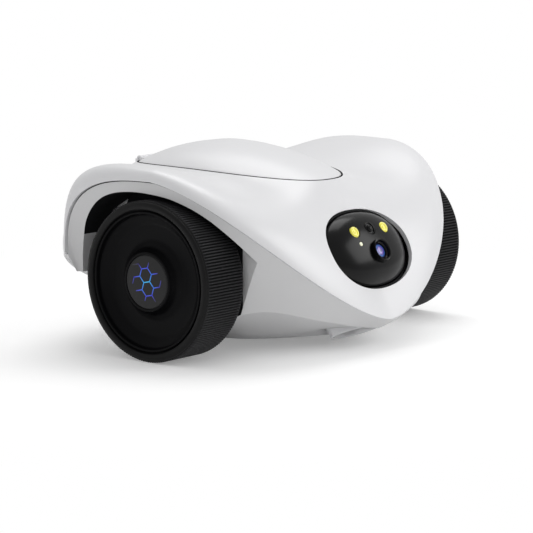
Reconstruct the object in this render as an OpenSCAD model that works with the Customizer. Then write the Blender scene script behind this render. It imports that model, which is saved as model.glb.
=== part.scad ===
// Treat tossing pet camera: a two-wheeled robot that carries a treat hopper, a tossing rotor
// and a camera eye in its nose. Millimetres, +Z up, nose towards -Y, left as seen from the front is -X.
// The origin is on the floor, in the middle of the body's length and width.
// The modules work from the wheels' axle line, and on_floor() moves them to that origin.

/* [Wheels] */
// Diameter of each wheel over its ribs
wheel_d = 82; // [78:1:86]
// Width of each tyre
tyre_w = 29; // [26:1:31]
// Distance between the outer faces of the two wheels
wheels_span = 217; // [213:1:225]
// Thickness of the rubber tyre on its rim
tyre_t = 4.5; // [3.5:0.5:6]
// Number of cross ribs round each tyre
tread_ribs = 120; // [90:6:132]
// Height of a tread rib
rib_h = 0.8; // [0.5:0.1:1.2]
// How far the dished face of the rim lies behind its outer lip
dish_depth = 7; // [4:0.5:9]
// Diameter of the hub boss and its cap
hub_d = 30; // [24:1:34]

/* [Shell] */
// How far each wheel stands out past the shell's side edge
wheel_proud = 4; // [2:0.5:7]
// Gap between the tyre and the wheel arch above it
arch_gap = 3; // [2.5:0.5:5]
// Height of the flange between the arch and the shell's edge
flange_h = 6; // [4:0.5:9]
// Distance from the axle line to the nose edge
nose_reach = 74; // [70:1:80]
// Distance from the axle line to the tail edge
tail_reach = 93; // [90:1:100]
// Distance from the axle line to the back of each wheel arch's edge
fender_reach = 59.5; // [57:0.5:63]
// Height of the shell's edge at the nose
nose_z = 16; // [15:0.5:19]
// Height of the shell's edge at the tail
tail_z = 17; // [16:0.5:20]
// Wall thickness of the upper shell
shell_t = 2.4; // [1.8:0.1:3]
// Wall thickness of the lower tub
tub_t = 2.2; // [1.8:0.1:2.8]
// Clearance under the tub's flat belly
belly_z = 6; // [5:0.5:7]

/* [Lid and hopper] */
// Width of the lid
lid_w = 76; // [70:1:82]
// Distance from the axle line to the lid's front tip
lid_front = 33; // [30:1:36]
// Distance from the axle line to the lid's back edge
lid_back = 88; // [84:1:89]
// Height of the lid's seam at its highest point
seam_top = 90; // [88:0.5:94]
// Rise of the lid's dome above its seam
lid_rise = 12.5; // [9:0.5:15]
// Thickness of the lid's skin
lid_t = 2; // [1.5:0.1:2.6]
// Gap between the lid and the shell
lid_gap = 0.5; // [0.4:0.1:0.9]
// Depth of the hopper below the lid's seam
hopper_depth = 34; // [30:1:35]
// Wall thickness of the hopper and the dispenser
bin_t = 1.8; // [1.4:0.1:2.2]

/* [Camera eye] */
// Width of the eye's oval opening
eye_w = 66; // [60:1:70]
// Height of the eye's oval opening, along the sloping face
eye_h = 45; // [40:1:48]
// Lean of the face, back from upright
eye_tilt = 28; // [24:1:32]
// Height of the eye's centre above the floor
eye_z = 51; // [49:0.5:54]
// Distance from the axle line to the eye's centre
eye_reach = 56.5; // [55:0.5:58]
// Height of the domed faceplate from its edge to its middle
eye_dome = 10; // [7:0.5:12]
// Outside diameter of the lens barrel
lens_d = 12; // [10:0.5:13]
// Diameter of each yellow lamp
lamp_d = 6; // [5:0.5:7]
// Diameter of the presence sensor's dome
sensor_d = 7; // [6:0.5:8]

/* [Drive] */
// Module of the drive gears
gear_m = 1; // [0.9:0.05:1.1]
// Teeth of the gear on each wheel's axle
gear_teeth = 30; // [28:1:32]
// Teeth of each motor's pinion
pinion_teeth = 12; // [12:1:14]
// Face width of the gears
gear_w = 6; // [5:0.5:7]
// Diameter of each wheel's axle
axle_d = 6; // [5:0.5:7]
// Radial running clearance of the shafts
run_gap = 0.05; // [0.03:0.01:0.08]
// Diameter of each drive motor
motor_d = 20; // [18:0.5:21]
// Length of each drive motor
motor_l = 26; // [24:0.5:27]

/* [Treat tosser] */
// Diameter of the paddle rotor
rotor_d = 35; // [32:1:36]
// Width of the paddle rotor
rotor_w = 34; // [30:1:36]
// Number of paddles
rotor_vanes = 5; // [4:1:6]
// Distance from the axle line forward to the rotor's axis
rotor_reach = 12; // [10:0.5:14]
// Height of the rotor's axis
rotor_z = 30.5; // [30:0.5:32]
// Width of the outlet's mouth
mouth_w = 42; // [38:1:48]
// Height of the outlet's mouth
mouth_h = 12; // [10:0.5:13]

/* [Tail caster] */
// Diameter of the caster's roller
caster_d = 14; // [12:0.5:15]
// Width of the caster's roller
caster_w = 7; // [6:0.5:8]
// Trail from the caster's swivel axis to its roller
caster_trail = 5; // [4:0.5:6]
// Distance from the axle line to the caster's swivel axis
caster_reach = 58; // [56:0.5:60]

/* [Hidden] */

// ---- the shell's edge, its lid seam and the ribs between them ----
wheel_r = wheel_d / 2;
shell_half = wheels_span / 2 - wheel_proud;
arch_z = wheel_d + arch_gap + flange_h;
fender_z = 50;
lid_mid = 35;
seam_peak = 53;
edge_steps = 60;
rib_steps = 8;

function mix(a, b, k) = a + (b - a) * k;
function bezier(a, b, c, d, t) = pow(1 - t, 3) * a + 3 * t * pow(1 - t, 2) * b
    + 3 * t * t * (1 - t) * c + pow(t, 3) * d;

// The edge runs from the nose (0) over the wheel (80), down behind it (130) to the tail (180)
function edge_front(f) = [shell_half * pow(sin(f), 0.97), -nose_reach * pow(cos(f), 0.97),
    nose_z + (arch_z - nose_z) * pow(sin(0.94 * f) / sin(84.6), 1.5)];
function edge_side(f) = [shell_half, fender_reach * pow(sin(f), 0.67),
    fender_z + (arch_z - fender_z) * pow(cos(f), 0.67)];
function edge_rear(f) = [shell_half * pow(cos(f), 0.9),
    mix(fender_reach, tail_reach, pow(sin(f), 1.6)), mix(tail_z, fender_z, pow(cos(f), 1.5))];
function edge(s) = s <= 80 ? edge_front(s * 90 / 80)
    : s <= 130 ? edge_side((s - 80) * 90 / 50) : edge_rear((s - 130) * 90 / 50);

// The lid's seam, an egg shape that rises towards the back; grow widens it all round
function seam_z(y) = y < seam_peak ? seam_top - 4.5 * pow((seam_peak - y) / 86, 2)
    : seam_top - 1.2 * pow((y - seam_peak) / 35, 2);
function seam_y(s, grow) = s < 90 ? lid_mid - (lid_mid + lid_front + grow) * pow(cos(s), 0.87)
    : lid_mid + (lid_back - lid_mid + grow) * pow(-cos(s), 0.72);
function seam(s, grow = 0) = [(lid_w / 2 + grow) * pow(sin(s), s < 90 ? 0.87 : 0.72),
    seam_y(s, grow), seam_z(seam_y(s, grow))];

// How far a rib belongs to the fender, to the fender's back and to the tail
function fender(s) = s < 80 ? pow(sin(s * 90 / 80), 1.3) : 1;
function fender_back(s) = s < 80 ? 0 : s < 130 ? sin((s - 80) * 90 / 50) : 1;
function tail(s) = s < 130 ? 0 : pow(sin((s - 130) * 90 / 50), 1.5);
function outward(s) = let (d = edge(s) - seam(s)) [d.x, d.y, 0] / norm([d.x, d.y]);
function rib_foot(s) = edge(s) - outward(s) * mix(mix(8.5, 1.5, fender(s)), -4, tail(s))
    + [0, 7 * fender_back(s), mix(22, 17, fender(s)) + 11 * fender_back(s) - 6 * tail(s)];
function rib_head(s) = seam(s) + outward(s) * mix(mix(15, 26, fender(s)), 12, tail(s))
    - [0, 0, mix(15.5, 3, fender(s)) + 1.5 * tail(s)];
function rib(s, t) = bezier(edge(s), rib_foot(s), rib_head(s), seam(s), t);

// Pulls a point of the surface in towards the axle by d, and down by drop
function pull_in(p, d, drop = 0) = [p.x * (1 - d / shell_half),
    p.y * (1 - d / (p.y < 0 ? nose_reach : tail_reach)), p.z - drop];
function ring_s(i) = 180 - abs(180 - 360 * i / edge_steps);
function flip(i, p) = i <= edge_steps / 2 ? p : [-p.x, p.y, p.z];

body_front = max([for (t = [0 : 0.1 : 1]) -rib(0, t).y]);
body_back = max([for (t = [0 : 0.05 : 1]) rib(180, t).y]);
mid_y = (body_back - body_front) / 2;
module on_floor() translate([0, -mid_y, 0]) children();

// Closed skin through a list of rings with the same number of points. It caps the first and
// the last ring, or joins the last ring to the first when round is true.
module skin(rings, round = false) {
    n = len(rings[0]);
    m = len(rings);
    sides = [for (j = [0 : m - (round ? 1 : 2)], i = [0 : n - 1])
        let (k = (i + 1) % n, up = (j + 1) % m)
            each [[j * n + i, up * n + i, j * n + k], [j * n + k, up * n + i, up * n + k]]];
    caps = round ? [] : [[for (i = [0 : n - 1]) i], [for (i = [n - 1 : -1 : 0]) (m - 1) * n + i]];
    polyhedron([for (r = rings) each r], concat(sides, caps));
}

// ---- outlines ----
function oval(w, h, p = 2.2, n = 48) = [for (i = [0 : n - 1]) let (a = 360 * i / n)
    [w / 2 * sign(cos(a)) * pow(abs(cos(a)), 2 / p), h / 2 * sign(sin(a)) * pow(abs(sin(a)), 2 / p)]];
module bar(size, r) {
    // Flat bar with rounded corners, standing on its middle
    linear_extrude(size.z) polygon([for (c = [0 : 3], a = [0 : 30 : 90])
        let (q = c * 90 + a, sx = (c == 0 || c == 3) ? 1 : -1, sy = c < 2 ? 1 : -1)
            [sx * (size.x / 2 - r) + r * cos(q), sy * (size.y / 2 - r) + r * sin(q)]]);
}
// Turns a cylinder's axis to +X, with its start at x
module along_x(x) translate([x, 0, 0]) rotate([0, 90, 0]) children();
module rod_x(x0, x1, r) along_x(x0) cylinder(h = x1 - x0, r = r, $fn = 64);
// The right-hand copy of a left-hand piece
module right_hand() mirror([1, 0, 0]) children();
module at_axle() translate([0, 0, wheel_r]) children();

// ---- upper shell ----
function shell_ring(t, inner) = [for (i = [0 : edge_steps - 1]) let (s = ring_s(i), p = rib(s, t))
    flip(i, inner ? pull_in(p, shell_t * min(1, 2.5 * (1 - t)), shell_t * min(1, 2.5 * t)) : p)];
// Tabs inside the edge, square to it, which stand behind the tub's wall and hold it in line
tab_spots = [17, 26, 36, 162];
tab_w = 6;
tab_t = 1.6;
tab_reach = 5;
tab_gap = 3;
module tab_block(at, s, inward, h) {
    along = edge(s + 1) - edge(s - 1);
    translate(at) rotate([0, 0, atan2(-along.x, along.y)])
        translate([-tab_t - inward, -tab_w / 2, 0]) cube([tab_t, tab_w, h]);
}
module locating_tab(s) hull() {
    tab_block(pull_in(rib(s, 0.15), shell_t / 2), s, -tab_t / 2, 3);
    tab_block(pull_in(edge(s), tub_inset + tub_t, tab_reach), s, tab_gap, tab_reach + 3);
}
// A place on the tail's middle line, facing out of the shell there
function tail_lean(t) = let (d = rib(180, t + 0.02) - rib(180, t - 0.02)) atan2(-d.y, d.z);
module at_tail(t, out = 0) translate(rib(180, t)) rotate([tail_lean(t) - 90, 0, 0])
    translate([0, 0, out]) children();
port_t = 0.19;
port_w = 10;
port_h = 4.4;
button_t = 0.42;
button_d = 10;
hinge_w = 28;
module at_eye(out = 0) translate([0, -eye_reach, eye_z]) rotate([90 - eye_tilt, 0, 0])
    translate([0, 0, out]) children();
eye_deep = 9;
// The space under the shell, from its edge to a flat top at the lid
function shell_block() = concat([[for (p = tub_ring(0, 0)) [p.x / 40, p.y / 40, fender_z - 20]]],
    [for (j = [0 : rib_steps]) shell_ring(j / rib_steps, false)],
    [[for (p = tub_ring(0, 0)) [p.x / 40, p.y / 40 + lid_mid, seam_top - 2]]]);
module upper_shell() on_floor() color("white") difference() {
    union() {
        // Bosses that stand on the tub's posts
        intersection() {
            at_base_posts() translate([0, 0, base_post_top + 0.05])
                cylinder(h = arch_z, d = base_post_d - 2, $fn = 32);
            skin(shell_block());
        }
        for (m = [0, 1], s = tab_spots) mirror([m, 0, 0]) locating_tab(s);
        skin([for (j = [0 : rib_steps]) shell_ring(j / rib_steps, false),
            for (j = [rib_steps : -1 : 0]) shell_ring(j / rib_steps, true)], round = true);
    }
    at_eye(-eye_deep - 3) linear_extrude(eye_deep + 12) polygon(oval(eye_w, eye_h));
    at_tail(port_t, -5) linear_extrude(10) polygon(oval(port_w + 0.6, port_h + 0.6, 4, 24));
    at_tail(button_t, -5) cylinder(h = 10, d = button_d + 0.8, $fn = 48);
    at_base_posts() translate([0, 0, base_post_top - 1]) cylinder(h = 12, d = screw_d + 0.1, $fn = 24);
    // Notch for the lid's hinge bracket
    translate([-hinge_w / 2 - 0.3, lid_back - 1, seam_z(lid_back) - 8]) cube([hinge_w + 0.6, 7, 14]);
}

// ---- lower tub ----
tub_inset = 1;
tub_drop = 0.4;
belt_z = 22;
skirt_z = 12;
skirt_inset = 9;
belly_inset = 24;
well_wall = wheels_span / 2 - tyre_w - 3;
well_r = wheel_r + arch_gap;
function tub_ring(z_max, inset, lift = 0) = [for (i = [0 : edge_steps - 1])
    let (p = edge(ring_s(i)), z = min(z_max, p.z - tub_drop - (z_max > fender_z ? 0 : 0.8)))
        flip(i, pull_in([p.x, p.y, z + lift], inset))];
module wheel_well(grow = 0) {
    // Round arch over the tyre, drawn out to a point in front and open behind
    side = well_wall - grow;
    for (m = [0, 1]) mirror([m, 0, 0]) translate([side, 0, 0]) {
        translate([0, 0, wheel_r]) rotate([0, 90, 0]) cylinder(h = 60, r = well_r + grow, $fn = 72);
        translate([0, 12, wheel_r]) rotate([0, 90, 0])
            cylinder(h = 60, r = well_r - 0.5 + grow, $fn = 72);
        rotate([90, 0, 90]) linear_extrude(60) polygon([
            [-(well_r + 8 + grow), wheel_r + 2], [-well_r * 0.62, wheel_r + well_r * 0.8 + grow],
            [0, wheel_r], [12, wheel_r], [fender_reach - 4, fender_z - 1 + grow],
            [tail_reach + 10, fender_z - 1 + grow], [tail_reach + 10, -10],
            [-(well_r - 6 + grow), -10], [-(well_r - 3 + grow), 14]]);
    }
}
mouth_y = -(nose_reach - 22);
mouth_z = belly_z + 2;
mouth_tilt = 30;
module at_mouth(out = 0) translate([0, mouth_y, mouth_z]) rotate([180 - mouth_tilt, 0, 0])
    translate([0, 0, out]) children();
caster_pocket_r = caster_trail + caster_d / 2 + 3.5;
caster_top = caster_d + 5;
function tub_outside() = [tub_ring(belly_z, belly_inset), tub_ring(skirt_z, skirt_inset),
    tub_ring(belt_z, tub_inset), tub_ring(arch_z + 9, tub_inset)];
function tub_inside() = [tub_ring(arch_z + 9, tub_inset + tub_t),
    tub_ring(belt_z + 1, tub_inset + tub_t), tub_ring(skirt_z, skirt_inset + tub_t, 1.5),
    tub_ring(belly_z, belly_inset + tub_t, tub_t)];
// The space inside the tub's outline, closed by a roof that rises to the middle
function tub_block() = concat(tub_outside(), [tub_ring(arch_z + 9, tub_inset + tub_t)],
    [[for (p = tub_ring(0, 0)) [p.x / 40, p.y / 40, arch_z - 3]]]);
screw_d = 3;
post_d = 9;
post_x = 40;
post_ys = [33, 57];
board_z = 39.4;
board_t = 1.6;
module at_posts() for (x = [-post_x, post_x], y = post_ys) translate([x, y, 0]) children();
// Posts that the shell's bosses stand on, each with a deep bore for its screw from below
base_posts = [[52, -33], [59, 38]];
base_post_d = 10;
base_post_top = 30;
module at_base_posts() for (m = [0, 1], p = base_posts) mirror([m, 0, 0]) translate([p.x, p.y, 0])
    children();
module screw_posts() {
    at_posts() {
        translate([0, 0, belly_z + 1]) cylinder(h = board_z - 0.05 - belly_z - 1, d = post_d - 1, $fn = 24);
        // Gusset ribs to the floor
        for (a = [0, 90]) rotate([0, 0, a]) hull() {
            translate([-post_d / 2 - 2, -0.6, belly_z + 1]) cube([post_d + 4, 1.2, 2]);
            translate([-post_d / 2 + 0.5, -0.6, belly_z + 1]) cube([post_d - 1, 1.2, 12]);
        }
    }
    // Ribs that the battery lies on
    for (x = [-26, 26]) translate([x - 1, 40, belly_z + 1])
        cube([2, 22, battery_z - 0.3 - belly_z - 1]);
    at_base_posts() translate([0, 0, belly_z + 0.5])
        cylinder(h = base_post_top - belly_z - 0.5, d = base_post_d, $fn = 32);
}
bush_d = 14;
bearing_d = 14;
speaker_y = 25;
speaker_d = 26;
module lower_tub() on_floor() color("gainsboro") difference() {
    union() {
        skin(concat(tub_outside(), tub_inside()));
        // Walls of the wheel wells, and the round housing that the tail caster turns in
        intersection() {
            union() {
                wheel_well(tub_t);
                translate([0, caster_reach, 0])
                    cylinder(h = caster_top + tub_t, r = caster_pocket_r + tub_t, $fn = 48);
            }
            skin(tub_block());
        }
        screw_posts();
    }
    wheel_well();
    at_mouth(-8) linear_extrude(20) polygon(oval(mouth_w + 0.6, mouth_h + 0.6));
    translate([0, caster_reach, -1]) cylinder(h = caster_top + 1, r = caster_pocket_r, $fn = 48);
    translate([0, caster_reach, 0]) cylinder(h = 60, d = bearing_d + 0.1, $fn = 48);
    at_axle() rod_x(-100, 100, bush_d / 2 + 0.05);
    for (x = [-8 : 4 : 8]) translate([x, speaker_y, 0]) linear_extrude(belly_z + 6)
        polygon(oval(1.8, speaker_d * 0.6 - abs(x) * 0.6, 3, 16));
    at_posts() translate([0, 0, board_z - 7]) cylinder(h = 8, d = screw_d + 0.1, $fn = 24);
    at_base_posts() {
        translate([0, 0, -1]) cylinder(h = base_post_top - 3 + 1, d = 6.4, $fn = 24);
        cylinder(h = base_post_top + 1, d = screw_d + 0.4, $fn = 24);
    }
}

// ---- lid ----
lid_steps = 6;
lid_lip = 3;
hinge_y = lid_back + 1.6;
hinge_z = seam_z(lid_back) + 0.4;
hinge_r = 1.8;
pin_r = 0.8;
// Point of the dome at t = 0 on its edge to 1 in its middle
function lid_point(s, t, sink = 0) = let (p = seam(s, -lid_gap - sink), c = [0, lid_mid, 0])
    [p.x * (1 - t), mix(p.y, c.y, t), mix(p.z, seam_z(lid_mid), t) + lid_rise * (1 - pow(1 - t, 2.2))];
function lid_ring(t, sink, drop) = [for (i = [0 : edge_steps - 1])
    flip(i, lid_point(ring_s(i), t, sink) - [0, 0, drop])];
function lid_t_at(j) = 0.96 * pow(j / lid_steps, 1.2);
module at_hinge() translate([0, hinge_y, hinge_z]) children();
module hopper_lid() on_floor() color("white") difference() {
    union() {
        skin([for (j = [lid_steps : -1 : 0]) lid_ring(lid_t_at(j), lid_t, lid_t),
            lid_ring(0, lid_t, lid_lip), lid_ring(0, 0, lid_lip),
            for (j = [0 : lid_steps]) lid_ring(lid_t_at(j), 0, 0)]);
        at_hinge() {
            rod_x(-hinge_w / 4, hinge_w / 4, hinge_r);
            translate([-hinge_w / 4, -6, -hinge_r + 0.6]) cube([hinge_w / 2, 6, hinge_r]);
        }
    }
    at_hinge() rod_x(-hinge_w, hinge_w, pin_r + run_gap);
}
module lid_seal() on_floor() color("lightgrey") skin([for (g = [-lid_t - 1.6, -lid_t - 0.3])
    [for (i = [0 : edge_steps - 1]) flip(i, seam(ring_s(i), g - lid_gap) - [0, 0, lid_lip + 0.6])],
    for (g = [-lid_t - 0.3, -lid_t - 1.6])
    [for (i = [0 : edge_steps - 1]) flip(i, seam(ring_s(i), g - lid_gap) - [0, 0, lid_t + 0.3])]],
    round = true);
module lid_hinge_pin() on_floor() color("silver") at_hinge()
    rod_x(-hinge_w / 2 + 0.2, hinge_w / 2 - 0.2, pin_r);
module lid_hinge_bracket() on_floor() color("gainsboro") {
    difference() {
        union() {
            for (m = [0, 1]) mirror([m, 0, 0]) at_hinge() {
                rod_x(hinge_w / 4 + 0.3, hinge_w / 2, hinge_r);
                translate([hinge_w / 4 + 0.3, -hinge_r + 1.2, -5])
                    cube([hinge_w / 4 - 0.3, hinge_r + 1.6, 5]);
            }
            translate([-hinge_w / 2, lid_back + 0.4, seam_z(lid_back) - 6]) cube([hinge_w, 4.6, 4]);
        }
        at_hinge() rod_x(-hinge_w, hinge_w, pin_r + run_gap);
    }
}

// ---- hopper and treat tosser ----
neck_w = 34;
neck_l = 28;
neck_z = 54;
rotor_y = -rotor_reach;
drum_r = rotor_d / 2 + 1;
drum_half = rotor_w / 2 + 1;
function oval_ring(w, l, z, cy) = [for (i = [0 : edge_steps - 1]) let (s = ring_s(i))
    flip(i, [w / 2 * pow(sin(s), 0.8), cy - l / 2 * sign(cos(s)) * pow(abs(cos(s)), 0.8), z])];
function bin_ring(inset, z) = [for (i = [0 : edge_steps - 1]) let (p = seam(ring_s(i), -inset))
    flip(i, [p.x, p.y, z < 0 ? p.z + z : z])];
bin_z = seam_top - hopper_depth + 16;
module hopper_bin() on_floor() color("whitesmoke") skin([
    oval_ring(neck_w, neck_l, neck_z, rotor_y), bin_ring(9, bin_z), bin_ring(5, -8),
    bin_ring(1, -5.6), bin_ring(1, -4), bin_ring(5 + bin_t, -4), bin_ring(9 + bin_t, bin_z + 1),
    oval_ring(neck_w - 2 * bin_t, neck_l - 2 * bin_t, neck_z, rotor_y)], round = true);
module at_rotor() translate([0, rotor_y, rotor_z]) children();
slot_h = 15;
motor_seat = 3.4;
tosser_motor_r = 9;
tosser_motor_l = 24;
module dispenser_housing() on_floor() color("whitesmoke") difference() {
    union() {
        at_rotor() rod_x(-drum_half - bin_t, drum_half + bin_t, drum_r + bin_t);
        // Collar under the hopper, and the seat of the rotor's motor
        translate([0, rotor_y, rotor_z]) linear_extrude(neck_z - 0.05 - rotor_z)
            polygon(oval(neck_w, neck_l, 2.5));
        at_rotor() rod_x(drum_half, drum_half + bin_t + motor_seat, tosser_motor_r);
        // Snout that the throwing slot runs through
        at_rotor() translate([-chute_w / 2, -drum_r - bin_t - 0.35, -slot_h + 3 - bin_t])
            cube([chute_w, drum_r - 4, slot_h + bin_t]);
        for (x = [-14, 14]) translate([x - 2, rotor_y - 6, belly_z + tub_t + 0.05])
            cube([4, 12, rotor_z - belly_z - tub_t - drum_r]);
    }
    at_rotor() {
        rod_x(-drum_half, drum_half, drum_r);
        rod_x(-drum_half - 10, drum_half + 10, shaft_r + run_gap);
        // Throwing slot towards the chute
        translate([-chute_w / 2 + bin_t, -drum_r - 12, -slot_h + 3])
            cube([chute_w - 2 * bin_t, 20, slot_h - bin_t]);
    }
    translate([0, rotor_y, rotor_z + 4]) linear_extrude(neck_z)
        polygon(oval(neck_w - 2 * bin_t, neck_l - 2 * bin_t, 2.5));
}
shaft_r = 2.5;
chute_w = 32;
motor_gap = 0.05;
rotor_motor_x = drum_half + bin_t + motor_seat + motor_gap;
hub_core = 6;
vane_t = 1.6;
module treat_rotor() on_floor() color("orange") at_rotor() {
    rod_x(-rotor_w / 2, rotor_w / 2, hub_core);
    for (v = [0 : rotor_vanes - 1]) rotate([360 * v / rotor_vanes + 18, 0, 0])
        translate([-rotor_w / 2 + 0.4, -vane_t / 2, hub_core - 1.5])
            cube([rotor_w - 0.8, vane_t, rotor_d / 2 - hub_core + 1.5]);
    rod_x(-drum_half - bin_t, rotor_motor_x + 4, shaft_r);
}
module rotor_motor() on_floor() color("silver") at_rotor() difference() {
    union() {
        rod_x(rotor_motor_x, rotor_motor_x + tosser_motor_l, tosser_motor_r);
        rod_x(rotor_motor_x + tosser_motor_l, rotor_motor_x + tosser_motor_l + 2, 4);
    }
    along_x(rotor_motor_x - 1) cylinder(h = 6, r = shaft_r + run_gap, $fn = 48);
}
module treat_chute() on_floor() color("whitesmoke") difference() {
    hull() {
        translate([-chute_w / 2, rotor_y - drum_r - bin_t - 1.2, rotor_z - slot_h + 3 - bin_t])
            cube([chute_w, 0.8, slot_h]);
        at_mouth(-5.3) linear_extrude(0.8) polygon(oval(mouth_w - 1, mouth_h - 1));
    }
    hull() {
        translate([-chute_w / 2 + bin_t, rotor_y - drum_r - bin_t - 1.1, rotor_z - slot_h + 3])
            cube([chute_w - 2 * bin_t, 1.2, slot_h - 2 * bin_t]);
        at_mouth(-5.4) linear_extrude(1.4)
            polygon(oval(mouth_w - 1 - 2 * bin_t, mouth_h - 1 - 2 * bin_t));
    }
}
lip_t = 1.5;
module outlet_lip() on_floor() color("white") at_mouth(-4.2) difference() {
    linear_extrude(5.6) polygon(oval(mouth_w, mouth_h));
    translate([0, 0, -1]) linear_extrude(9) polygon(oval(mouth_w - 2 * lip_t, mouth_h - 2 * lip_t));
}

// ---- camera eye ----
lens_y = -4.5;
lamp_x = 12.3;
lamp_y = 8;
sensor_y = 8.5;
status_at = [-9, 1.2];
status_d = 2.2;
bezel_t = 1.3;
plate_low = 5;
function dome_z(x, y) = let (q = pow(2 * x / (eye_w - 4), 2) + pow(2 * y / (eye_h - 4), 2))
    -plate_low + (eye_dome + 2) * sqrt(max(0.03, 1 - 0.97 * q));
dome_n = 40;
function dome_ring(k, sink) = [for (i = [0 : dome_n - 1]) let (a = 360 * i / dome_n,
    x = k * (eye_w - 4) / 2 * cos(a), y = k * (eye_h - 4) / 2 * sin(a)) [x, y, dome_z(x, y) - sink]];
module eye_bezel() on_floor() color([0.06, 0.06, 0.06]) at_eye(-eye_deep) difference() {
    linear_extrude(eye_deep - 0.7) polygon(oval(eye_w - 0.2, eye_h - 0.2));
    translate([0, 0, -1]) linear_extrude(eye_deep + 2)
        polygon(oval(eye_w - 0.2 - 2 * bezel_t - 3, eye_h - 0.2 - 2 * bezel_t - 3));
    // Ledge that the faceplate sits on
    translate([0, 0, eye_deep - plate_low]) linear_extrude(eye_deep)
        polygon(oval(eye_w - 0.2 - 2 * bezel_t, eye_h - 0.2 - 2 * bezel_t));
}
module eye_faceplate() on_floor() color([0.04, 0.04, 0.04]) at_eye() difference() {
    skin([for (k = [0.15, 0.4, 0.65, 0.85, 0.96, 1]) dome_ring(k, 2),
        for (k = [1, 0.96, 0.85, 0.65, 0.4, 0.15]) dome_ring(k, 0)]);
    translate([0, lens_y, -20]) cylinder(h = 40, d = lens_d + 0.4, $fn = 48);
    for (x = [-lamp_x, lamp_x]) translate([x, lamp_y, -20]) cylinder(h = 40, d = lamp_d + 0.4, $fn = 32);
    translate([0, sensor_y, -20]) cylinder(h = 40, d = sensor_d + 0.4, $fn = 32);
    translate([status_at.x, status_at.y, -20]) cylinder(h = 40, d = status_d + 0.4, $fn = 24);
}
eye_board_z = -eye_deep - 0.05;
module lens_barrel() on_floor() color([0.05, 0.05, 0.05]) at_eye(eye_board_z + 0.05) difference() {
    translate([0, lens_y, 0]) cylinder(h = dome_z(0, lens_y) + 0.8 - eye_board_z, d = lens_d, $fn = 64);
    translate([0, lens_y, 2]) cylinder(h = 40, d = lens_d - 3, $fn = 64);
}
module lens_glass() on_floor() color("indigo") at_eye() translate([0, lens_y, dome_z(0, lens_y) - 3.6])
    cylinder(h = 3, d = lens_d - 3.2, $fn = 64);
// Lamps and sensors stand on the camera board and reach through the dome
module on_board(x, y) at_eye(eye_board_z + 0.05) translate([x, y, 0]) children();
function board_to_dome(x, y) = dome_z(x, y) - eye_board_z;
module lamp_left() on_floor() color("yellow") on_board(-lamp_x, lamp_y) {
    shoulder = board_to_dome(lamp_x, lamp_y) - 0.2;
    cylinder(h = shoulder, d = lamp_d, $fn = 32);
    translate([0, 0, shoulder]) cylinder(h = 0.8, d = lamp_d - 1.6, $fn = 32);
}
module lamp_right() right_hand() lamp_left();
module presence_sensor() on_floor() color([0.1, 0.1, 0.12]) on_board(0, sensor_y) {
    cylinder(h = board_to_dome(0, sensor_y) - 1.2, d = sensor_d, $fn = 32);
    translate([0, 0, board_to_dome(0, sensor_y) - 1.4]) sphere(d = sensor_d - 0.4, $fn = 32);
}
module status_lamp() on_floor() color("ivory") on_board(status_at.x, status_at.y)
    cylinder(h = board_to_dome(status_at.x, status_at.y) + 0.3, d = status_d, $fn = 24);
module camera_board() on_floor() color("darkgreen") at_eye(eye_board_z - board_t)
    linear_extrude(board_t) polygon(oval(eye_w - 1.5, eye_h - 1.5));

// ---- wheels ----
side_x = wheels_span / 2;
rim_r = wheel_r - tyre_t;
hub_r = hub_d / 2;
module left_wheel() translate([-side_x, 0, wheel_r]) rotate([0, 90, 0]) children();
module tyre_left() on_floor() color([0.08, 0.08, 0.08]) left_wheel() difference() {
    union() {
        rotate_extrude($fn = 96) polygon([[rim_r, 0.6], [rim_r + 0.6, 0], [wheel_r - rib_h - 1.5, 0],
            [wheel_r - rib_h, 1.5], [wheel_r - rib_h, tyre_w - 1.5], [wheel_r - rib_h - 1.5, tyre_w],
            [rim_r, tyre_w]]);
        translate([0, 0, 1.6]) linear_extrude(tyre_w - 3.2) polygon([for (i = [0 : 2 * tread_ribs - 1])
            (i % 2 == 0 ? wheel_r : wheel_r - rib_h - 0.2)
                * [cos(180 * i / tread_ribs), sin(180 * i / tread_ribs)]]);
    }
    translate([0, 0, -1]) cylinder(h = tyre_w + 2, r = rim_r, $fn = 96);
}
cap_t = 1.8;
hub_face = 1;
module rim_left() on_floor() color([0.1, 0.1, 0.1]) left_wheel() rotate_extrude($fn = 96) polygon([
    [axle_d / 2 + 0.02, dish_depth], [axle_d / 2 + 0.02, tyre_w - 3], [hub_r - 5, tyre_w - 3],
    [hub_r - 4, dish_depth + 4], [rim_r - 3, dish_depth + 2.5], [rim_r - 2, tyre_w - 1],
    [rim_r - 0.05, tyre_w - 1], [rim_r - 0.05, 2], [rim_r - 0.9, 2], [rim_r - 0.9, 1.1],
    [rim_r - 1.3, 0.8], [rim_r - 1.9, 1.1], [rim_r - 2.4, 2.6], [rim_r - 4, dish_depth - 2],
    [(rim_r + hub_r) / 2 + 2, dish_depth - 0.4], [hub_r + 5, dish_depth - 0.8],
    [hub_r + 2, dish_depth - 2.5], [hub_r + 0.6, hub_face + 1.6], [hub_r, hub_face + 0.4],
    [hub_r - 0.6, hub_face], [hub_r - 1.4, hub_face], [hub_r - 1.4, hub_face + cap_t + 0.1],
    [0, hub_face + cap_t + 0.1], [0, dish_depth]]);
module hub_cap_left() on_floor() color([0.07, 0.07, 0.09]) left_wheel() translate([0, 0, hub_face + 0.1])
    cylinder(h = cap_t - 0.1, r = hub_r - 1.5, $fn = 64);
bracket_x = 50.3;
axle_end = bracket_x - 0.8;
module axle_left() on_floor() color("silver") at_axle()
    rod_x(-side_x + dish_depth + 0.3, -axle_end, axle_d / 2);

// ---- drive ----
function involute(rb, r) = let (t = sqrt(max(0, pow(r / rb, 2) - 1))) t * 180 / PI - atan(t);
backlash = 0.12;
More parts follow.
